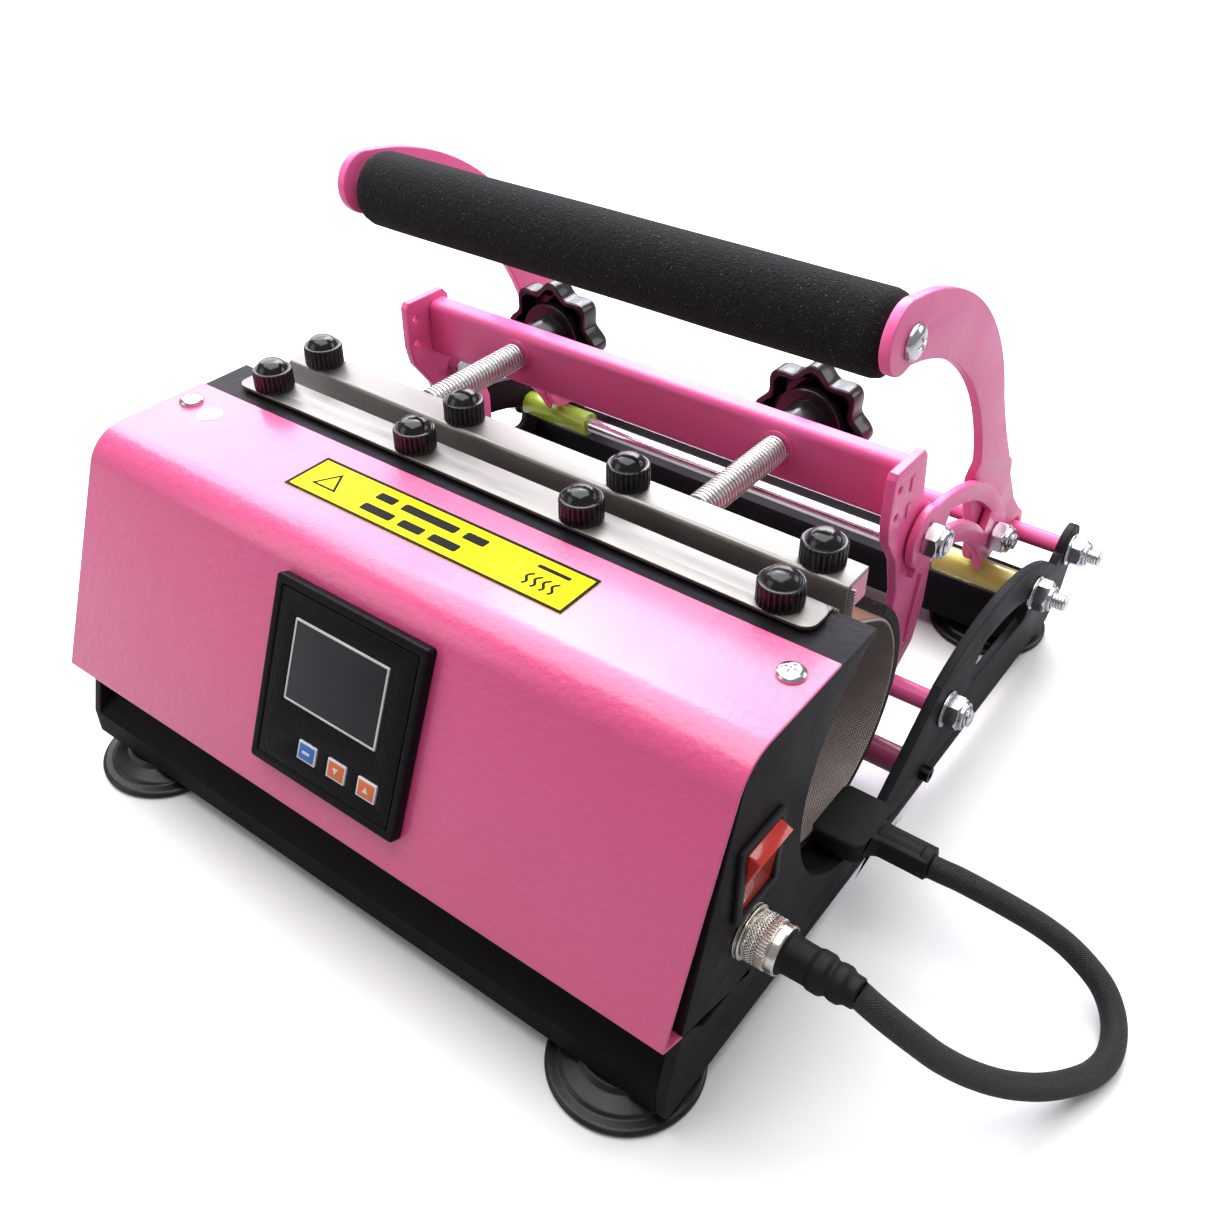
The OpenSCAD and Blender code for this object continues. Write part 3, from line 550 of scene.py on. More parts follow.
def sweep(path, radius, segments=32, uv=None):
    """Round tube along a path without twist. uv is the width round it and the scale along it."""
    lengths = [0.0]
    for a, b in zip(path, path[1:]):
        lengths.append(lengths[-1] + (b - a).length)
    normal, rings = None, []
    for i, p in enumerate(path):
        t = (path[min(i + 1, len(path) - 1)] - path[max(i - 1, 0)]).normalized()
        if normal is None:
            normal = t.cross(Z if abs(t.z) < 0.9 else X).normalized()
        normal = (normal - t * normal.dot(t)).normalized()
        side = t.cross(normal)
        rings.append([p + (normal * cos(a) + side * sin(a)) * radius for a in angles(segments)])
    return loft(rings, uv=(uv[0], [l * uv[1] for l in lengths]) if uv else None)


def yz(v):
    return (v[1], v[2])


def bent(line, t, bend=0.0015, steps=6):
    """Closed outline of a sheet t thick along an open centre line, its corners bent."""
    p = rounded(line, bend, steps)
    sides = ([], [])
    for i, q in enumerate(p):
        a, c = Vector((*p[max(i - 1, 0)], 0)), Vector((*p[min(i + 1, len(p) - 1)], 0))
        d = (c - a).normalized()
        for side, s in zip(sides, (1, -1)):
            side.append((q[0] - s * d.y * t / 2, q[1] + s * d.x * t / 2))
    return sides[0] + sides[1][::-1]


def corners(w, h, r, at=(0, 0), steps=6):
    """Rectangle with rounded corners."""
    out = []
    for sx, sy, a in ((1, 1, 0), (-1, 1, 90), (-1, -1, 180), (1, -1, 270)):
        out += arc((at[0] + sx * (w / 2 - r), at[1] + sy * (h / 2 - r)), r, a, a + 90, steps)
    return out


def circle(at, r, steps=48):
    return arc(at, r, 0, 360 - 360 / steps, steps - 1)


def merged(*loops, holes=()):
    """Outer loop and holes of the union of flat outlines."""
    coords, faces = [], []
    for l in [*loops, *holes]:
        if loop_area(l) < 0:
            l = l[::-1]
        faces.append(list(range(len(coords), len(coords) + len(l))))
        coords += [Vector(p) for p in l]
    cdt = geometry.delaunay_2d_cdt(coords, [], faces, 0, 1e-7, True)
    v, edges = cdt[0], {}
    for face, origin in zip(cdt[2], cdt[5]):
        if origin and all(i < len(loops) for i in origin):
            for a, b in zip(face, list(face[1:]) + [face[0]]):
                edges[(a, b)] = True
    follow = {a: b for a, b in edges if (b, a) not in edges}
    out = []
    while follow:
        a, loop = next(iter(follow)), []
        while a in follow:
            loop.append((v[a].x, v[a].y))
            a = follow.pop(a)
        out.append(loop)
    return out


def phillips(matrix, r, h, shank=0.0, shank_r=0.002):
    """Domed screw head with a cross recess, its seat on local z = 0."""
    rings, count, segments = [], 34, 144
    for q, z in ((0.96, 0.0), (1.0, 0.05), (1.0, 0.16)):
        rings.append([polar(q * r, a, z * h) for a in angles(segments)])
    for i in range(1, count + 1):
        q = max(1 - i / count, 0.002)
        ring = []
        for a in angles(segments):
            x, y = q * r * cos(a), q * r * sin(a)
            short, long = min(abs(x), abs(y)), max(abs(x), abs(y))
            cut = ease((0.12 * r - short) / (0.06 * r)) * ease((0.52 * r - long) / (0.1 * r))
            z = 0.16 * h + 0.84 * h * sqrt(max(0.0, 1 - q ** 2.3))
            ring.append(Vector((x, y, z - cut * (0.55 * h * (1 - 0.55 * long / (0.52 * r))))))
        rings.append(ring)
    parts = [loft(rings, matrix)]
    if shank:
        parts.append(thread(matrix @ lift(-shank), shank, shank_r, 0.0008, 0.0003, 24))
    return joined(parts)


def nyloc(matrix):
    """M8 locking nut: chamfered hexagon, turned collar and nylon ring. Materials 0 and 1."""
    collar = rounded([(0.0049, 0.006), (0.0061, 0.0058), (0.0059, 0.0076), (0.0053, 0.008), (0.0049, 0.0079)], 0.0004)
    insert = [(0.0038, 0.0062), (0.005, 0.0062), (0.005, 0.0076), (0.0038, 0.0076)]
    return joined([hexagon(matrix, 0.0061), turned(collar, matrix, 64), assign(turned(insert, matrix, 64), 1)])


def keep(material, *nodes):
    """CAD nodes whose shape is right get a better material."""
    for n in nodes:
        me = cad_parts[n].data
        me.materials.clear()
        me.materials.append(M[material])


# ---------------------------------------------------------------- camera and cable

scene = bpy.context.scene
camera = bpy.data.objects.new("camera", bpy.data.cameras.new("camera"))
scene.collection.objects.link(camera)
camera.data.lens, camera.data.sensor_width = 36.71, 36
camera.data.shift_x, camera.data.shift_y = 0.0034, -0.0164
camera.location = (0.2638, -0.3498, 0.3849)
camera.rotation_euler = Vector((-0.4828, 0.6379, -0.6001)).to_track_quat("-Z", "Y").to_euler()
scene.camera = camera

ROUTE = [mm(*p) for p in (
    (189.5, -124, 63), (195, -123.5, 60), (201, -121.5, 55), (208, -118, 48), (215, -113.5, 40),
    (223, -107, 31.5), (231, -99, 23.5), (238, -90.5, 17), (244, -82, 12), (249.5, -73, 8.5),
    (253.5, -64, 5.5), (255.5, -55, 4.6), (254.5, -46, 4.8), (251, -38.5, 7), (245, -33, 10.5),
    (237, -30.5, 14.5), (228, -30, 19), (218, -31.5, 23.5), (208, -34, 27.5), (198, -37, 31.5),
    (189, -39.5, 34.5), (184, -40.5, 35.2), (179, -41, 35.5))]
BRAID_R = 0.00446  # the bump of the braid fills the rest of the 9 mm
ROUND_UV = 28.27  # round the cable in mm, to match 1000 per metre along it
lay = smooth_path(ROUTE, 5)
cable = piece("heater_cable_braid", sweep(lay, BRAID_R, 40, uv=(ROUND_UV, 1000)), "braid", "frame",
              "heater_cable", "cable_braid", 60)

lo, hi, mid = ends("connector_boot")
line = [(0.0001, 0), (7.9, 0), (7.9, 8.4), (6.7, 8.9), (6.5, 17.4), (7.0, 18.6), (7.0, 22.6), (5.7, 24), (6.4, 25.8),
        (6.4, 28.6), (5.3, 30), (5.2, 33.5), (0.0001, 33.5)]
line = rounded([(r / 1000, h / 1000) for r, h in line], 0.0009, 5)
pinch = lambda a, h, r: 1 - (0.04 * cos(2 * a) if 0.009 < h < 0.018 and r > 0.005 else 0)
boot = piece("connector_boot_rubber", lathe(line, across(lo.x, mid), 64, pinch), "silicone", "frame",
             "connector_boot", "silicone_black", 40)

lo, hi, mid = ends("heater_boot")
half_w, neck, block_x, z0 = 0.014, 0.0054, lo.x + 0.021, mid.z - 0.0046
tee = (arc((lo.x + 0.003, mid.y + half_w - 0.003), 0.003, 180, 90, 8)
       + arc((block_x - 0.005, mid.y + half_w - 0.005), 0.005, 90, 0, 8)
       + arc((block_x + 0.004, mid.y + neck + 0.004), 0.004, 180, 270, 8) + [(hi.x - 0.0005, mid.y + neck)])
tee += [(x, 2 * mid.y - y) for x, y in tee[::-1]]
stem = rounded([(0.0001, 0), (0.0055, 0.0006), (0.0053, 0.0175), (0.0058, 0.0182), (0.0058, 0.0218), (0.0046, 0.022),
                (0.0001, 0.022)], 0.0007)
tee_boot = joined([plate([tee], 0.0092, lift(z0), 0.0014, 3),
                   lathe(stem, across(hi.x - 0.022, mid), 48)])
heater_plug = piece("heater_boot_rubber", tee_boot, "silicone", "frame", "heater_boot", "silicone_black", 40)

lay_length = round(sum((b - a).length for a, b in zip(lay, lay[1:])), 4)
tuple(ROUTE[0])

# ---------------------------------------------------------------- frame

PLATE_OUT, PLATE_T = 0.15, 0.004  # outer face of the side plates, and their thickness
# the left plate has the right one's outline, without the holes of the switch and the socket at its front
sheet_loops = outlines("side_plate_right", PLATE_OUT)
shared = [l for l in sheet_loops if l is sheet_loops[0] or sum(p[0] for p in l) / len(l) > -0.1]
inlet_hole = corners(0.027, 0.02, 0.0003, (-0.118, 0.082), 2)
for side, x0, loops in (("right", PLATE_OUT - PLATE_T, sheet_loops), ("left", -PLATE_OUT, shared + [inlet_hole])):
    piece(f"side_plate_{side}_sheet", plate(loops, PLATE_T, along_x((x0, 0, 0)), 0.0004), "black", "frame",
          f"side_plate_{side}", "black_powder")

keep("black_low", "front_beam", "rear_beam")
keep("black", "cradle_wall", "top_plate")
keep("zinc", "foot_screws", "front_clamp_studs")
keep("black_oxide", "spacer_screws")
keep("pink_dark", "spacer_tube")
keep("matte", "power_inlet")

lo, hi, mid = ends("rubber_feet")
FOOT_X = 0.124
r = (hi.x - lo.x - 2 * FOOT_X) / 2
foot = rounded([(0.0001, 0.004), (0.005, 0.004), (0.006, 0.0), (r - 0.001, 0.0), (r, 0.0009), (r, 0.0024),
                (r - 0.0012, 0.0032), (r - 0.0045, 0.0036), (r - 0.0055, 0.0046), (0.0195, 0.0056), (0.0165, 0.0066),
                (0.0152, 0.0084), (0.0001, 0.0084)], 0.0006)
feet = [lathe(foot, moved(sx * FOOT_X, sy * (hi.y - r), 0), 96) for sx in (-1, 1) for sy in (-1, 1)]
piece("suction_feet", joined(feet), "rubber", "frame", "rubber_feet", "rubber_black", 40)

bumper = ends("bumper_rod")[2]
lo, hi, mid = ends("pivot_rods")
pivot_handle = Vector((0, hi.y - ROD_R, hi.z - ROD_R))
pivot_jaw = Vector((0, lo.y + ROD_R, lo.z + ROD_R))
ROD_PLAIN = 0.148  # half the length of a rod without its threads
for name, node, at, half, slot in (("bumper_rod", "bumper_rod", bumper, ends("bumper_rod")[1].x, "polished_rod"),
                                   ("pivot_rods_one", "pivot_rods", pivot_handle, hi.x, "zinc_steel"),
                                   ("pivot_rods_two", "pivot_rods", pivot_jaw, hi.x - 0.004, "zinc_steel")):
    rods = [tube(across(-ROD_PLAIN, at), 2 * ROD_PLAIN, ROD_R, soft=0.0001)]
    rods += [thread(across(s * ROD_PLAIN, at, s), half - ROD_PLAIN, ROD_R) for s in (-1, 1)]
    piece(f"{name}_polished", joined(rods), "rod", "frame", node, slot, 50)

nuts, washer_t = [], 0.0012
washer = rounded([(0.0042, 0.0001), (0.008, 0.0001), (0.008, washer_t), (0.0042, washer_t)], 0.0003, 2)
for at in (pivot_handle, pivot_jaw, bumper):
    for s in (-1, 1):
        m = across(s * PLATE_OUT, at, s)
        nuts += [turned(washer, m, 64), nyloc(m @ lift(washer_t) @ spin(0.4 * s + at.y * 9))]
piece("frame_lock_nuts", joined(nuts), ["zinc", "nylon"], "frame", "frame_nuts", "zinc_steel", 30)

lo, hi, mid = ends("bumper_sleeves")
ring = [(0.0041, 0), (0.0065, 0), (0.0065, 0.0428), (0.0041, 0.0428)]
ring = rounded(ring + ring[:1], 0.0004)[:-1]
for side, x0, mat in (("left", lo.x, "lime"), ("right", 0.103, "amber")):
    piece(f"bumper_sleeve_{side}", turned(ring, across(x0, mid), 64), mat, "frame", "bumper_sleeves",
          "sleeve_amber")

# ---------------------------------------------------------------- control housing

lo, hi, mid = ends("control_cover")
sheet, bend = 0.0012, 0.018
lip = Vector((0, lo.y, lo.z + 0.016 * sin(LEAN)))
start = lip + UP * ((hi.z - lip.z) / cos(LEAN) - bend * tan((pi / 2 - LEAN) / 2))
centre, a0 = start - OUT * bend, 180 - degrees(LEAN)
tip = lip - OUT * 0.016
outer = rounded([yz(tip), yz(lip), yz(start)], 0.0012) + arc(yz(centre), bend, a0, 90, 28)[1:] + [(hi.y, hi.z)]
inner = (rounded([yz(tip + UP * sheet), yz(lip + UP * sheet - OUT * sheet), yz(start - OUT * sheet)], 0.0003)
         + arc(yz(centre), bend - sheet, a0, 90, 28)[1:] + [(hi.y, hi.z - sheet)])
piece("control_cover_sheet", plate([outer + inner[::-1]], hi.x - lo.x, along_x((lo.x, 0, 0)), 0.00035), "pink",
      "frame", "control_cover", "pink_powder")
top = hi.z

lo, hi, mid = ends("cover_screws")
heads = [phillips(moved(s * 0.14, hi.y - 0.005, top) @ spin(0.5 + s), 0.005, 0.0025, 0.006) for s in (-1, 1)]
heads += [phillips(basis(lip + X * x - OUT * 0.009, -UP, X), 0.0038, 0.0018, 0.004) for x in (-0.098, 0.132)]
piece("cover_screw_heads", joined(heads), "zinc", "frame", "cover_screws", "zinc_steel", 40)

lo, hi, mid = ends("caution_label")
m = moved(mid.x, mid.y, lo.z)
L, W = hi.x - lo.x, hi.y - lo.y
ink = []


def print_on(*loops):
    """Ink on the label's film."""
    ink.append(assign(plate(loops, 0.00006, m @ lift(0.00021), 0.00001, 1), 1))


print_on(corners(L - 0.0001, W - 0.0001, 0.0005), corners(L - 0.0029, W - 0.0029, 0.0003))
triangle = [[(-L / 2 + 0.014 + r * cos(a), -0.0012 + r * sin(a))
             for a in (pi / 2, pi * 7 / 6, -pi / 6)] for r in (0.0072, 0.005)]
print_on(*triangle)
for row, words in ((0.0038, (0.009, 0.026, 0.01)), (-0.0042, (0.015, 0.011, 0.013))):
    x = -L / 2 + 0.034
    for word in words:
        print_on(corners(word, 0.0042, 0.0009, (x + word / 2, row)))
        x += word + 0.0035
for k in range(4):
    wave_line = [(L / 2 - 0.021 + 0.0036 * k + 0.0009 * sin(i * 0.9), -0.0055 + 0.0008 * i) for i in range(9)]
    print_on(bent(wave_line, 0.0011, 0.0002, 2))
print_on(corners(0.014, 0.0018, 0.0008, (L / 2 - 0.0155, 0.0052)))
film = plate([corners(L, W, 0.0006)], 0.00022, m, 0.00003, 1)
piece("top_label", joined([film] + ink), ["yellow", "black_ink"], "frame", "caution_label", "label_yellow")

piece("round_sticker", plate([circle((-0.1254, -0.0959), 0.005)], 0.00012, lift(top), 0.00003, 1), "sticker", "frame",
      slot="label_yellow")

# controller: local x across, y up the panel, z out of it
glass = ends("display_window")[2]
hub = glass + X * 0.001 - UP * 0.0081 - OUT * 0.00415
panel = basis(hub, OUT, X)
at = lambda x, y, z: panel @ moved(x, y, z)
keys = [(-0.0085 + 0.0147 * k, -0.0226) for k in range(3)]
window = lambda w, h, r: corners(w, h, r, (-0.001, 0.0081))
face = [corners(0.0646, 0.0646, 0.0005), window(0.0452, 0.0312, 0.0004)]
face += [corners(0.0096, 0.008, 0.0005, k) for k in keys]
body = [plate([corners(0.072, 0.072, 0.0016), corners(0.0652, 0.0652, 0.0006)], 0.0045, panel, 0.0007, 3),
        plate(face, 0.0043, panel, 0.0002, 2),
        block((0.067, 0.067, 0.05), at(0, 0, -0.025), 0.0006),
        plate([corners(0.066, 0.066, 0.0005)], 0.0015, panel, 0.0002)]
piece("controller_bezel", joined(body), "bezel", "frame", "controller_housing", "matte_black")
m = at(0, 0, 0.0036)
screen = [plate([window(0.0436, 0.0296, 0.0003)], 0.00098, m, 0.0001),
          assign(plate([window(0.045, 0.031, 0.0004), window(0.0434, 0.0294, 0.0003)], 0.0011, m, 0.0001), 1)]
piece("display_glass", joined(screen), ["screen", "screen_edge"], "frame", "display_window", "display")
for (x, y), name, color, points_up in zip(keys, ("set", "down", "up"), ("blue", "orange", "orange"), (0, -1, 1)):
    parts = [assign(block((0.0089, 0.0073, 0.0021), at(x, y, 0.0026 + 0.00105), 0.0003), 1),
             block((0.0076, 0.006, 0.0022), at(x, y, 0.0027 + 0.0011), 0.0004)]
    if points_up:
        base = y - 0.001 * points_up
        mark = [(x - 0.0013, base), (x + 0.0013, base), (x, y + 0.0013 * points_up)]
    else:
        mark = corners(0.0038, 0.001, 0.0004, (x, y))
    parts.append(assign(plate([mark], 0.0002, at(0, 0, 0.00489), 0.00004, 1), 1))
    piece(f"{name}_key", joined(parts), [color, "key_edge"], f"key_{name}", f"{name}_button", f"button_{color}")

# rocker switch
lo, hi, mid = ends("switch_housing")
m = across(PLATE_OUT, mid)
well = corners(0.0194, 0.0284, 0.0006)
shell = [plate([corners(0.0255, 0.033, 0.0014), well], 0.002, m, 0.0005, 3),
         plate([corners(0.0232, 0.0306, 0.001), well], 0.0023, m @ lift(-0.0003), 0.0002, 2),
         plate([corners(0.021, 0.03, 0.0006), well], 0.0115, m @ lift(-0.0114), 0.0001),
         block((0.0209, 0.0299, 0.0145), m @ lift(-0.0187), 0.0004)]
piece("switch_frame", joined(shell), "matte", "frame", "switch_housing", "matte_black")
lo, hi, mid = ends("power_rocker")
R = 0.0139
rocker_m = basis((0.149, hi.y, ends("switch_housing")[2].z), -Y, X)
rocker = arc((0, 0), R, -106.7, -83.3, 6) + [(0.003, 0.0)] + arc((0, 0), R, 57.9, 106.7, 12)
piece("red_rocker", plate([rocker], hi.y - lo.y, rocker_m, 0.0006, 3), "red", "rocker", "power_rocker",
      "rocker_red", 24)

# round connector
lo, hi, mid = ends("cable_socket")
flange = rounded([(0.0001, -0.012), (0.0079, -0.012), (0.0079, 0.0), (0.0098, 0.0), (0.0098, 0.0009), (0.0092, 0.0011),
                  (0.0092, 0.0013), (0.0098, 0.0015), (0.0098, 0.0023), (0.0086, 0.0027), (0.008, 0.003),
                  (0.0079, 0.0058), (0.0066, 0.006), (0.0064, 0.0012), (0.0001, 0.0012)], 0.0002, 2)
piece("panel_socket", lathe(flange, across(PLATE_OUT, mid), 96), "nickel", "frame", "cable_socket",
      "nickel", 30)
lo, hi, mid = ends("coupling_ring")
span = hi.x - lo.x
coupling = [(0.00795, span), (0.00795, 0.0), (0.0083, 0.0), (0.0088, 0.0004)]
coupling += [(0.009, 0.0005 + (span - 0.0045) * i / 26) for i in range(27)]
coupling += [(0.0083, span - 0.0038), (0.0083, span - 0.0033), (0.0088, span - 0.0029), (0.0087, span - 0.0006),
             (0.0083, span)]


def knurl(a, h, r):
    """Crossed knurling on the first 4.6 mm and straight ribs on the rest."""
    if r < 0.00895:
        return 1
    if h > 0.0046:
        return 1 - 0.045 * (1 - abs(sin(24 * a)))
    u, v = sin(24 * a + 2600 * h), sin(24 * a - 2600 * h)
    return 1 - 0.045 * (1 - min(abs(u), abs(v)) ** 0.7)


piece("knurled_coupling", turned(coupling, across(lo.x, mid), 384, knurl), "nickel", "ring",
      "coupling_ring", "nickel", 26)

# ---------------------------------------------------------------- heater mat and clamps

lo, hi, mid = ends("heater_mat")
mat_length = hi.x - lo.x
mat_axis = Vector((0, -0.044, 0.078))
MAT_R = 0.044
SKIN, FOIL, SPONGE = 0.0009, 0.0013, 0.0059  # depths of the layers' backs


def band(path, a, b, length):
    """Layer of the mat between depths a and b behind the face that follows path. It is narrower under the strip."""
    rings, lengths = [], [0.0]
    for i, p in enumerate(path):
        t = (path[min(i + 1, len(path) - 1)] - path[max(i - 1, 0)]).normalized()
        n = Vector((0, t.z, -t.y))
        if i:
            lengths.append(lengths[-1] + (p - path[i - 1]).length)
        h, c = length / 2 - (0.0016 if p.y < -0.0572 and p.z > 0.13 else 0), min(0.0004, (b - a) * 0.3)
        section = ((-h + c, a), (h - c, a), (h, a + c), (h, b - c), (h - c, b), (-h + c, b), (-h, b - c), (-h, a + c))
        rings.append([p + X * x + n * d for x, d in section])
    me = loft(rings)
    layer = me.uv_layers.new(name="UVMap")
    for loop in me.loops:
        v = me.vertices[loop.vertex_index]
        layer.data[loop.index].uv = (v.co.x * 1000, lengths[loop.vertex_index // 8] * 1000)
    return me


def on_arc(a):
    return mat_axis + Vector((0, cos(radians(a)), sin(radians(a)))) * MAT_R


def face_line(points, radius):
    """Rounded (y, z) points as a path at x = 0."""
    return [Vector((0, *p)) for p in rounded(points, radius, 8)]


nut_seat = ends("thumb_nut_front_1")[0].z
tail_top = nut_seat - 0.0015
strip = ends("front_clamp_strip")
rear_strip = ends("rear_clamp_strip")
arc_front = [on_arc(a) for a in range(110, 271, 4)]
arc_rear = [on_arc(a) for a in range(270, 415, 4)]
front_path = face_line([(strip[0].y + 0.003, tail_top), (-0.0556, tail_top), yz(on_arc(106))], 0.003) + arc_front
slot_y = rear_strip[0].y + 0.0015
rear_path = arc_rear + face_line([yz(on_arc(418)), (slot_y, 0.129), (slot_y, tail_top - 0.0002)], 0.004)
for side, path, backed in (("front", front_path, arc_front), ("rear", rear_path, arc_rear)):
    me = joined([band(path, 0.0, SKIN, mat_length), assign(band(path, SKIN, FOIL, mat_length - 0.0012), 1),
                 assign(band(backed, FOIL, SPONGE, mat_length - 0.0006), 2)])
    o = piece(f"heater_mat_{side}", me, ["mat", "copper", "sponge"], "frame" if side == "front" else None,
              "heater_mat", "heater_skin", 40)
    if side == "rear":
        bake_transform(o)

lo, hi, mid = strip
strip_loops = [corners(hi.x - lo.x, hi.y - lo.y, 0.005)]
strip_loops += [circle((x, 0), 0.0022, 24) for x in (-0.12, -0.04, 0.04, 0.12)]
piece("front_strip_brushed", plate(strip_loops, 0.0015, moved(mid.x, mid.y, lo.z), 0.0002), "strip", "frame",
      "front_clamp_strip", "brushed_strip")
lo, hi, mid = rear_strip
angle_line = [(lo.y + 0.00075, lo.z), (lo.y + 0.00075, hi.z - 0.00075), (hi.y, hi.z - 0.00075)]
piece("rear_strip_brushed", plate([bent(angle_line, 0.0015, 0.0012)], hi.x - lo.x, along_x((lo.x, 0, 0)), 0.00015),
      "strip", "clamp", "rear_clamp_strip", "brushed_strip")
keep("pink", "rear_clamp_bar")

nut_line = [(0.0001, 0), (7.7, 0), (8.12, 0.5), (8.12, 1.0), (8.12, 2.6), (8.12, 4.2), (8.12, 5.8), (8.12, 7.4),
            (8.1, 7.9), (7.75, 8.4), (7.3, 8.6), (6.9, 8.55), (6.7, 8.3), (6.5, 8.35), (6.3, 8.8), (6.0, 9.5),
            (5.5, 10.3), (4.8, 11.05), (3.9, 11.65), (2.8, 12.1), (1.5, 12.35), (0.0001, 12.42)]
nut_line = [(r / 1000, h / 1000) for r, h in nut_line]


def ridge(a, h, r):
    """26 grip ridges round a thumb nut, fading out at its shoulder."""
    if r < 0.0078 or h > 0.0081:
        return 1
    return 1 - 0.085 * (0.5 - 0.5 * cos(26 * a)) ** 1.6 * min(1, (0.0083 - h) / 0.0006)


nut_mesh = lathe(nut_line, Matrix.Identity(4), 260, ridge)
for row in ("front", "rear"):
    for k in (1, 2, 3, 4):
        lo, hi, mid = ends(f"thumb_nut_{row}_{k}")
        me = nut_mesh.copy()
        me.transform(moved(mid.x, mid.y, lo.z) @ spin(0.7 * k))
        piece(f"thumb_nut_{row}_{k}_knurled", me, "gloss", f"nut_{row}_{k}", f"thumb_nut_{row}_{k}", "gloss_black", 34)

lo, hi, mid = ends("pressure_springs")
spring_x, spring_z = hi.x - 0.006, mid.z
COIL_R, WIRE_R, TURNS, CLAMP_TRAVEL = 0.00525, 0.00062, 29, 0.008
web = ends("crossbar")[0].y
for side, s in (("left", -1), ("right", 1)):
    coil, count = [], TURNS * 22
    for i in range(count + 1):
        a = 2 * pi * TURNS * (i / count)
        coil.append(Vector((s * spring_x + COIL_R * cos(a), lo.y + 0.0008 + (hi.y - lo.y - 0.0016) * (i / count),
                            mid.z + COIL_R * sin(a))))
    o = piece(f"pressure_spring_{side}", sweep(coil, WIRE_R, 10), "spring", "jaw", "pressure_springs",
              "brushed_strip", 60)
    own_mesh(o)


def lobes(a, h, r):
    """Eight lobes round a star knob's rim."""
    return 1 + 0.092 * cos(8 * a) * max(0.0, min(1.0, (r - 0.0135) / 0.004)) if r > 0.0135 else 1


def scallops(a, h, r):
    """Six shallow scallops round its collar."""
    return 1 - 0.05 * (0.5 + 0.5 * cos(6 * a)) if r > 0.009 else 1


for side in ("left", "right"):
    lo, hi, mid = ends(f"star_knob_{side}")
    m = basis((mid.x, 0, mid.z), Y, X)
    hub_y, rim, back = web + 0.0032, hi.y - 0.011, hi.y
    k0 = (hi.x - lo.x) / 2 - 0.0021  # radius between lobe and dip
    line = [(1e-7, hub_y), (0.0074, hub_y), (0.0079, hub_y + 0.0005), (0.0079, rim + 0.006), (0.0086, rim + 0.0078),
            (k0 - 0.005, rim + 0.0078), (k0 - 0.0036, rim + 0.006), (k0 - 0.003, rim + 0.0004), (k0 - 0.0026, rim),
            (k0 - 0.0006, rim), (k0, rim + 0.0006), (k0, rim + 0.004), (k0, back - 0.003), (k0 - 0.0003, back - 0.0018),
            (k0 - 0.0011, back - 0.0007), (k0 - 0.0026, back - 0.0002), (k0 - 0.006, back), (0.0125, back),
            (0.0115, back - 0.0004), (0.011, back - 0.0014), (0.009, back - 0.0016), (1e-7, back - 0.0016)]
    step = [(1e-7, rim - 0.001), (0.0145, rim - 0.001), (0.015, rim - 0.0005), (0.015, rim + 0.003),
            (1e-7, rim + 0.003)]
    collar = [(1e-7, hub_y + 0.006), (0.0094, hub_y + 0.006), (0.0099, hub_y + 0.0068), (0.0104, rim - 0.0006),
              (1e-7, rim - 0.0006)]
    length = web + 0.0035 - lo.y
    screw = thread(basis((mid.x, lo.y + length, mid.z), -Y, X), length, 0.0029, 0.001, 0.0005, 20)
    knob = joined([lathe(line, m, 256, lobes), lathe(step, m, 96), lathe(collar, m, 192, scallops), assign(screw, 1)])
    piece(f"star_knob_{side}_moulded", knob, ["gloss_brown", "zinc"], f"knob_{side}", f"star_knob_{side}",
          "gloss_black", 34)

# ---------------------------------------------------------------- jaw

ARM_IN, ARM_T = 0.118, 0.004  # inner face of the jaw and handle arms, and their thickness
pocket = [(0.0415, 0.096), (0.056, 0.088), (0.0495, 0.05), (0.044, 0.05)]  # the thin floor inside each arm
for side in ("right", "left"):
    me = joined([plate(outlines("jaw_arm_right", ARM_IN + ARM_T), ARM_T, along_x((ARM_IN, 0, 0)), 0.0006, 3),
                 plate([pocket], 0.0026, along_x((ARM_IN + 0.0002, 0, 0)), 0.0002)])
    piece(f"jaw_arm_{side}_cast", me if side == "right" else mirrored(me), "pink_cast", "jaw", f"jaw_arm_{side}",
          "pink_powder")


def shaft(name, node, outer, bore, soft, *rest):
    """Tube across the press, in the place of a CAD node."""
    lo, hi, mid = ends(node)
    piece(name, tube(across(lo.x, mid), hi.x - lo.x, outer, bore, soft), *rest)


shaft("jaw_shaft_tube", "jaw_shaft", 0.0065, 0.00405, 0.0004, "pink_cast", "jaw", "jaw_shaft", "pink_powder")
lo, hi, mid = ends("crossbar")
channel = [(hi.y, lo.z + 0.0015), (lo.y + 0.0015, lo.z + 0.0015), (lo.y + 0.0015, hi.z - 0.0015), (hi.y, hi.z - 0.0015)]
parts = [plate([bent(channel, 0.003, 0.0024)], 2 * ARM_IN, along_x((-ARM_IN, 0, 0)), 0.0003)]
collar = rounded([(0.0036, 0.0), (0.0072, 0.0), (0.0072, 0.0008), (0.0036, 0.0008)], 0.0002, 2)
for s in (-1, 1):
    tabs = [block((0.0062, 0.0029, 0.0059), moved(s * 0.1194, lo.y + 0.0015, z), 0.0004) for z in (0.132, 0.144)]
    parts += [*tabs, turned(collar, basis((s * spring_x, lo.y, spring_z), -Y, X), 48)]
piece("crossbar_channel", joined(parts), "pink_cast", "jaw", "crossbar", "pink_powder")

lo, hi, mid = ends("jaw_link_bolts")
link_front = mid


def head(s, at, turn):
    """Bolt head against an arm's inner face, on side s."""
    return hexagon(across(s * ARM_IN, at, -s), HEAD_H, turn, both_cut=False)


def shank(s, x, at, length, r=0.00398):
    return tube(across(s * x, at, s), length, r, soft=0.0001, segments=48)


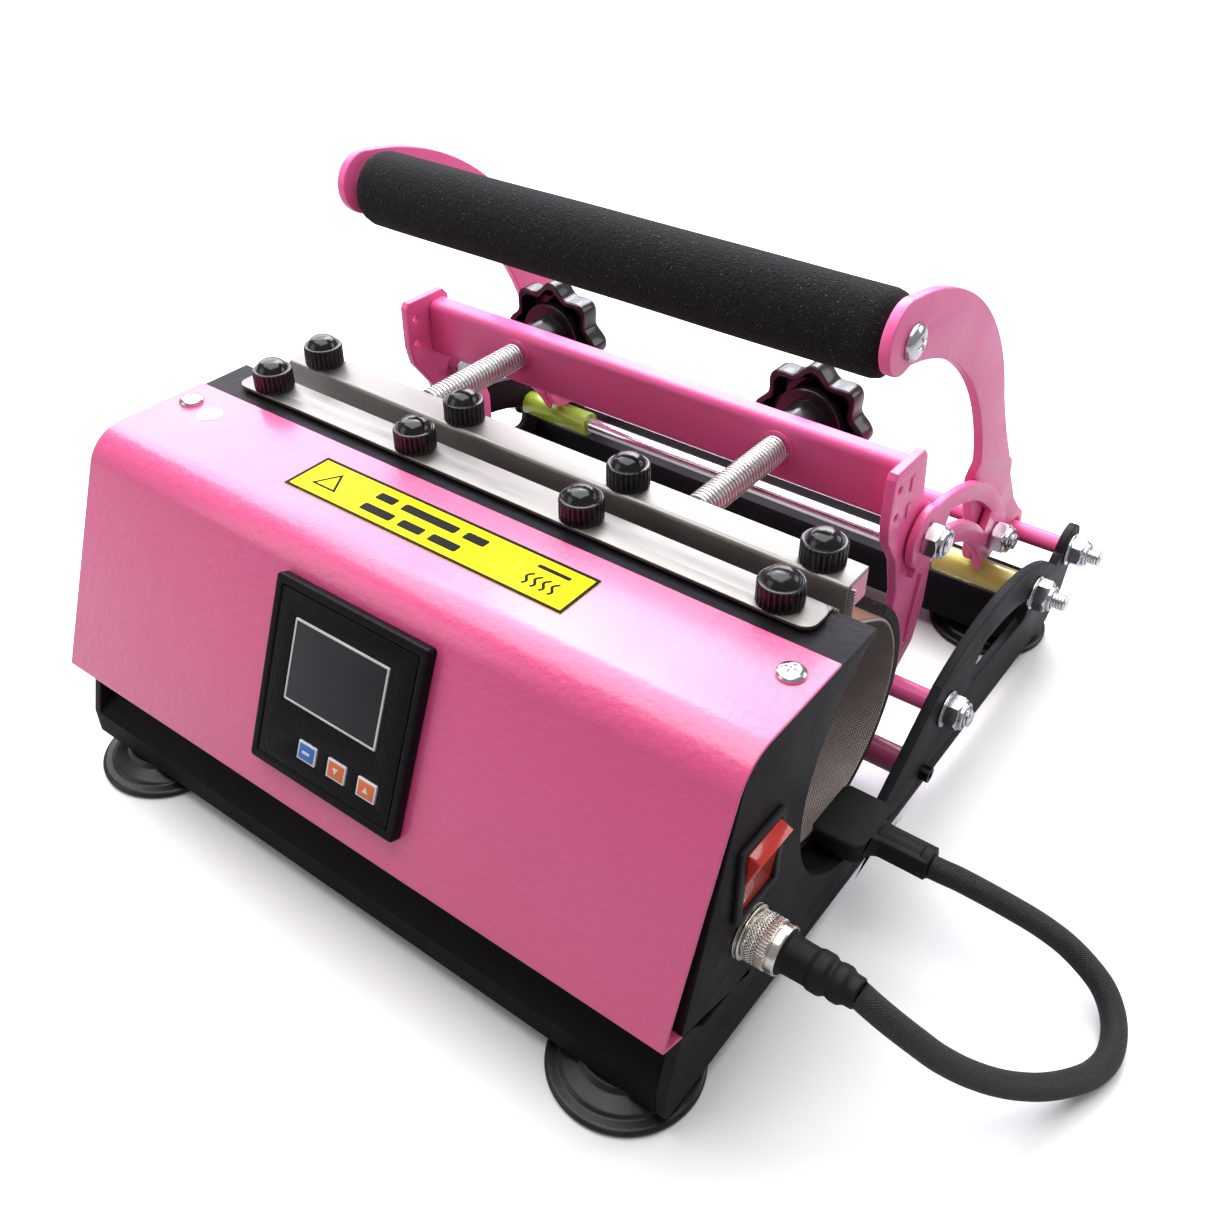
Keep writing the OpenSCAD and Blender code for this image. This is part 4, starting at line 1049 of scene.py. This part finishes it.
bolts = []
for s in (-1, 1):
    bolts += [head(s, mid, 0.2), shank(s, ARM_IN - 0.0002, mid, 0.0042, ROD_R)]
piece("jaw_bolt_heads", joined(bolts), "zinc", "jaw", "jaw_link_bolts", "zinc_steel", 30)

# ---------------------------------------------------------------- links and handle

LINK_IN, LINK_T = 0.123, 0.0035  # inner face of the toggle links, and their thickness
right = plate(outlines("handle_links", LINK_IN + LINK_T), LINK_T, along_x((LINK_IN, 0, 0)), 0.0006, 3)
piece("toggle_links", joined([right, mirrored(right)]), "pink_cast", "links", "handle_links", "pink_powder")
nuts = []
for s in (-1, 1):
    m = across(s * (LINK_IN + LINK_T), link_front, s)
    nuts += [nyloc(m), thread(m @ lift(0.002), 0.0069, 0.00395), shank(s, LINK_IN + 0.0001, link_front, 0.0036)]
piece("link_lock_nuts", joined(nuts), ["zinc", "nylon"], "links", "link_nuts", "zinc_steel", 30)

lo, hi, mid = ends("handle_link_bolts")
nuts = []
for s in (-1, 1):
    m = across(s * 0.1268, mid, s)
    nuts += [nyloc(m), thread(m @ lift(0.002), hi.x - 0.1288, 0.00398), shank(s, ARM_IN - 0.0002, mid, 0.0112),
             head(s, mid, 0.5)]
piece("handle_link_nuts", joined(nuts), ["zinc", "nylon"], "handle", "handle_link_bolts", "zinc_steel", 30)

ARM_STEP = 0.003  # the grip end of each arm stands this much to the right
slant, knee = Vector((0, 0.4, 0.917)).normalized(), Vector((0, 0.112, 0.108))


def joggle(b):
    """Steps an arm sideways at its knee."""
    for i in range(-7, 8):
        bmesh.ops.bisect_plane(b, geom=b.verts[:] + b.edges[:] + b.faces[:], plane_co=knee + slant * 0.001 * i,
                               plane_no=slant)
    for v in b.verts:
        v.co.x += ARM_STEP * ease(((v.co - knee).dot(slant) + 0.006) / 0.012)


for side, x0 in (("right", ARM_IN), ("left", -ARM_IN - ARM_T)):
    node = f"handle_arm_{side}"
    upper, lower = outlines(node, x0 + ARM_T + ARM_STEP), outlines(node, x0)
    me = plate(merged(upper[0], lower[0], holes=upper[1:] + lower[1:]), ARM_T, along_x((x0, 0, 0)), 0.0006, 3)
    piece(f"{node}_stepped", edited(joggle, me), "pink_cast", "handle", node, "pink_powder")

shaft("handle_shaft_tube", "handle_shaft", 0.0065, 0.00405, 0.0004, "pink_cast", "handle", "handle_shaft",
      "pink_powder")
shaft("handle_core_tube", "handle_tube", 0.011, 0.00305, 0.0003, "steel", "handle", "handle_tube", "brushed_strip")
lo, hi, mid = ends("foam_grip")
span, R, rows = hi.x - lo.x, (hi.z - lo.z) / 2, 90
END, DROP = 0.006, 0.0042  # length and depth of the rounded ends
outer = []
for i in range(rows + 1):
    h = span * i / rows
    end = min(h, span - h)
    outer.append((R - 0.0002 - (DROP * (1 - sqrt(max(0.0, 1 - (1 - end / END) ** 2))) if end < END else 0), h))


def sway(a, h, r):
    """Slight unevenness of the foam's outside."""
    if r < 0.012:
        return 1
    return 1 - 0.006 + 0.006 * sin(h * 60 + 1.0) * sin(h * 23) + 0.003 * sin(3 * a + h * 40)


piece("foam_grip_sleeve", turned([(0.011, span), (0.011, 0.0)] + outer, across(lo.x, mid), 96, sway),
      "foam", "handle", "foam_grip", "foam_black", 50)
lo, hi, mid = ends("handle_screws")
heads = [phillips(across(x, mid, s) @ spin(0.35), 0.0064, 0.0034, 0.02, 0.003)
         for s, x in ((1, hi.x - 0.0034), (-1, lo.x + 0.0034))]
piece("handle_screw_heads", joined(heads), "zinc", "handle", "handle_screws", "zinc_steel", 40)

# ---------------------------------------------------------------- room and light

paper = Nodes("pale_floor")
tint = paper.mix(paper.ramp(paper.noise(6, 2), 0, 1, 0.3, 0.7), (0.93, 0.93, 0.93), (0.95, 0.95, 0.95))
paper.set(Base_Color=tint, Roughness=0.85, Specular_IOR_Level=0.1)
# the camera sees white paper; its reflections and bounced light are dimmer, so the blacks stay deep
seen = paper.new("LightPath").outputs["Is Camera Ray"]
dim = paper.new("BsdfDiffuse", {"Color": (0.42, 0.42, 0.43, 1)}).outputs[0]
# the paper fades into the white backdrop away from the press
away = paper.new("VectorMath", {0: paper.coord}, operation="LENGTH").outputs["Value"]
far = paper.ramp(away, 0, 1, 0.6, 1.9)
backdrop = paper.new("Emission", {"Strength": 1.0}).outputs[0]
faded = paper.new("MixShader", {0: far, 1: paper.b.outputs[0], 2: backdrop}).outputs[0]
shown = paper.new("MixShader", {0: seen, 1: dim, 2: faded}).outputs[0]
paper.link(shown, paper.t.nodes["Material Output"].inputs[0])
me = mesh_from([(-9, -9, 0), (9, -9, 0), (9, 9, 0), (-9, 9, 0)], [(0, 1, 2, 3)])
me.materials.append(paper.m)
ground = bpy.data.objects.new("floor", me)
scene.collection.objects.link(ground)
ground.location.z = -0.0002

world = bpy.data.worlds.new("studio")
scene.world = world
world.use_nodes = True
world.node_tree.nodes["Background"].inputs[0].default_value = (1, 1, 1, 1)
# the world is white to the camera and dimmer as a light
tree = world.node_tree
path_kind = tree.nodes.new("ShaderNodeLightPath")
level = tree.nodes.new("ShaderNodeMapRange")
level.inputs["To Min"].default_value, level.inputs["To Max"].default_value = 0.3, 1.0
tree.links.new(path_kind.outputs["Is Camera Ray"], level.inputs["Value"])
tree.links.new(level.outputs[0], tree.nodes["Background"].inputs[1])


def softbox(name, at, to, size, power, color=(1, 1, 1)):
    light = bpy.data.lights.new(name, "AREA")
    light.shape, light.size, light.size_y, light.energy = "RECTANGLE", size[0], size[1], power
    light.color = color
    o = bpy.data.objects.new(name, light)
    scene.collection.objects.link(o)
    o.location = at
    o.rotation_euler = (Vector(to) - Vector(at)).to_track_quat("-Z", "Y").to_euler()


softbox("top_box", (-0.15, 0.02, 1.1), (-0.05, 0, 0.1), (1.2, 1.3), 19)
softbox("back_box", (-0.85, 0.8, 0.95), (0, 0, 0.14), (2.1, 1.2), 34, (0.93, 0.9, 1.0))
softbox("side_box", (-0.33, 0.98, 1.12), (0.14, -0.09, 0.14), (0.9, 0.8), 15, (0.93, 0.9, 1.0))
softbox("front_box", (-0.9, -1.1, 0.6), (0, -0.1, 0.1), (0.8, 0.8), 2.7)
softbox("rear_box", (0.9, 1.0, 0.7), (0, 0.1, 0.1), (0.7, 0.7), 4)
scene.view_settings.view_transform = "Standard"
scene.view_settings.look = "None"
scene.view_settings.exposure = 0.0
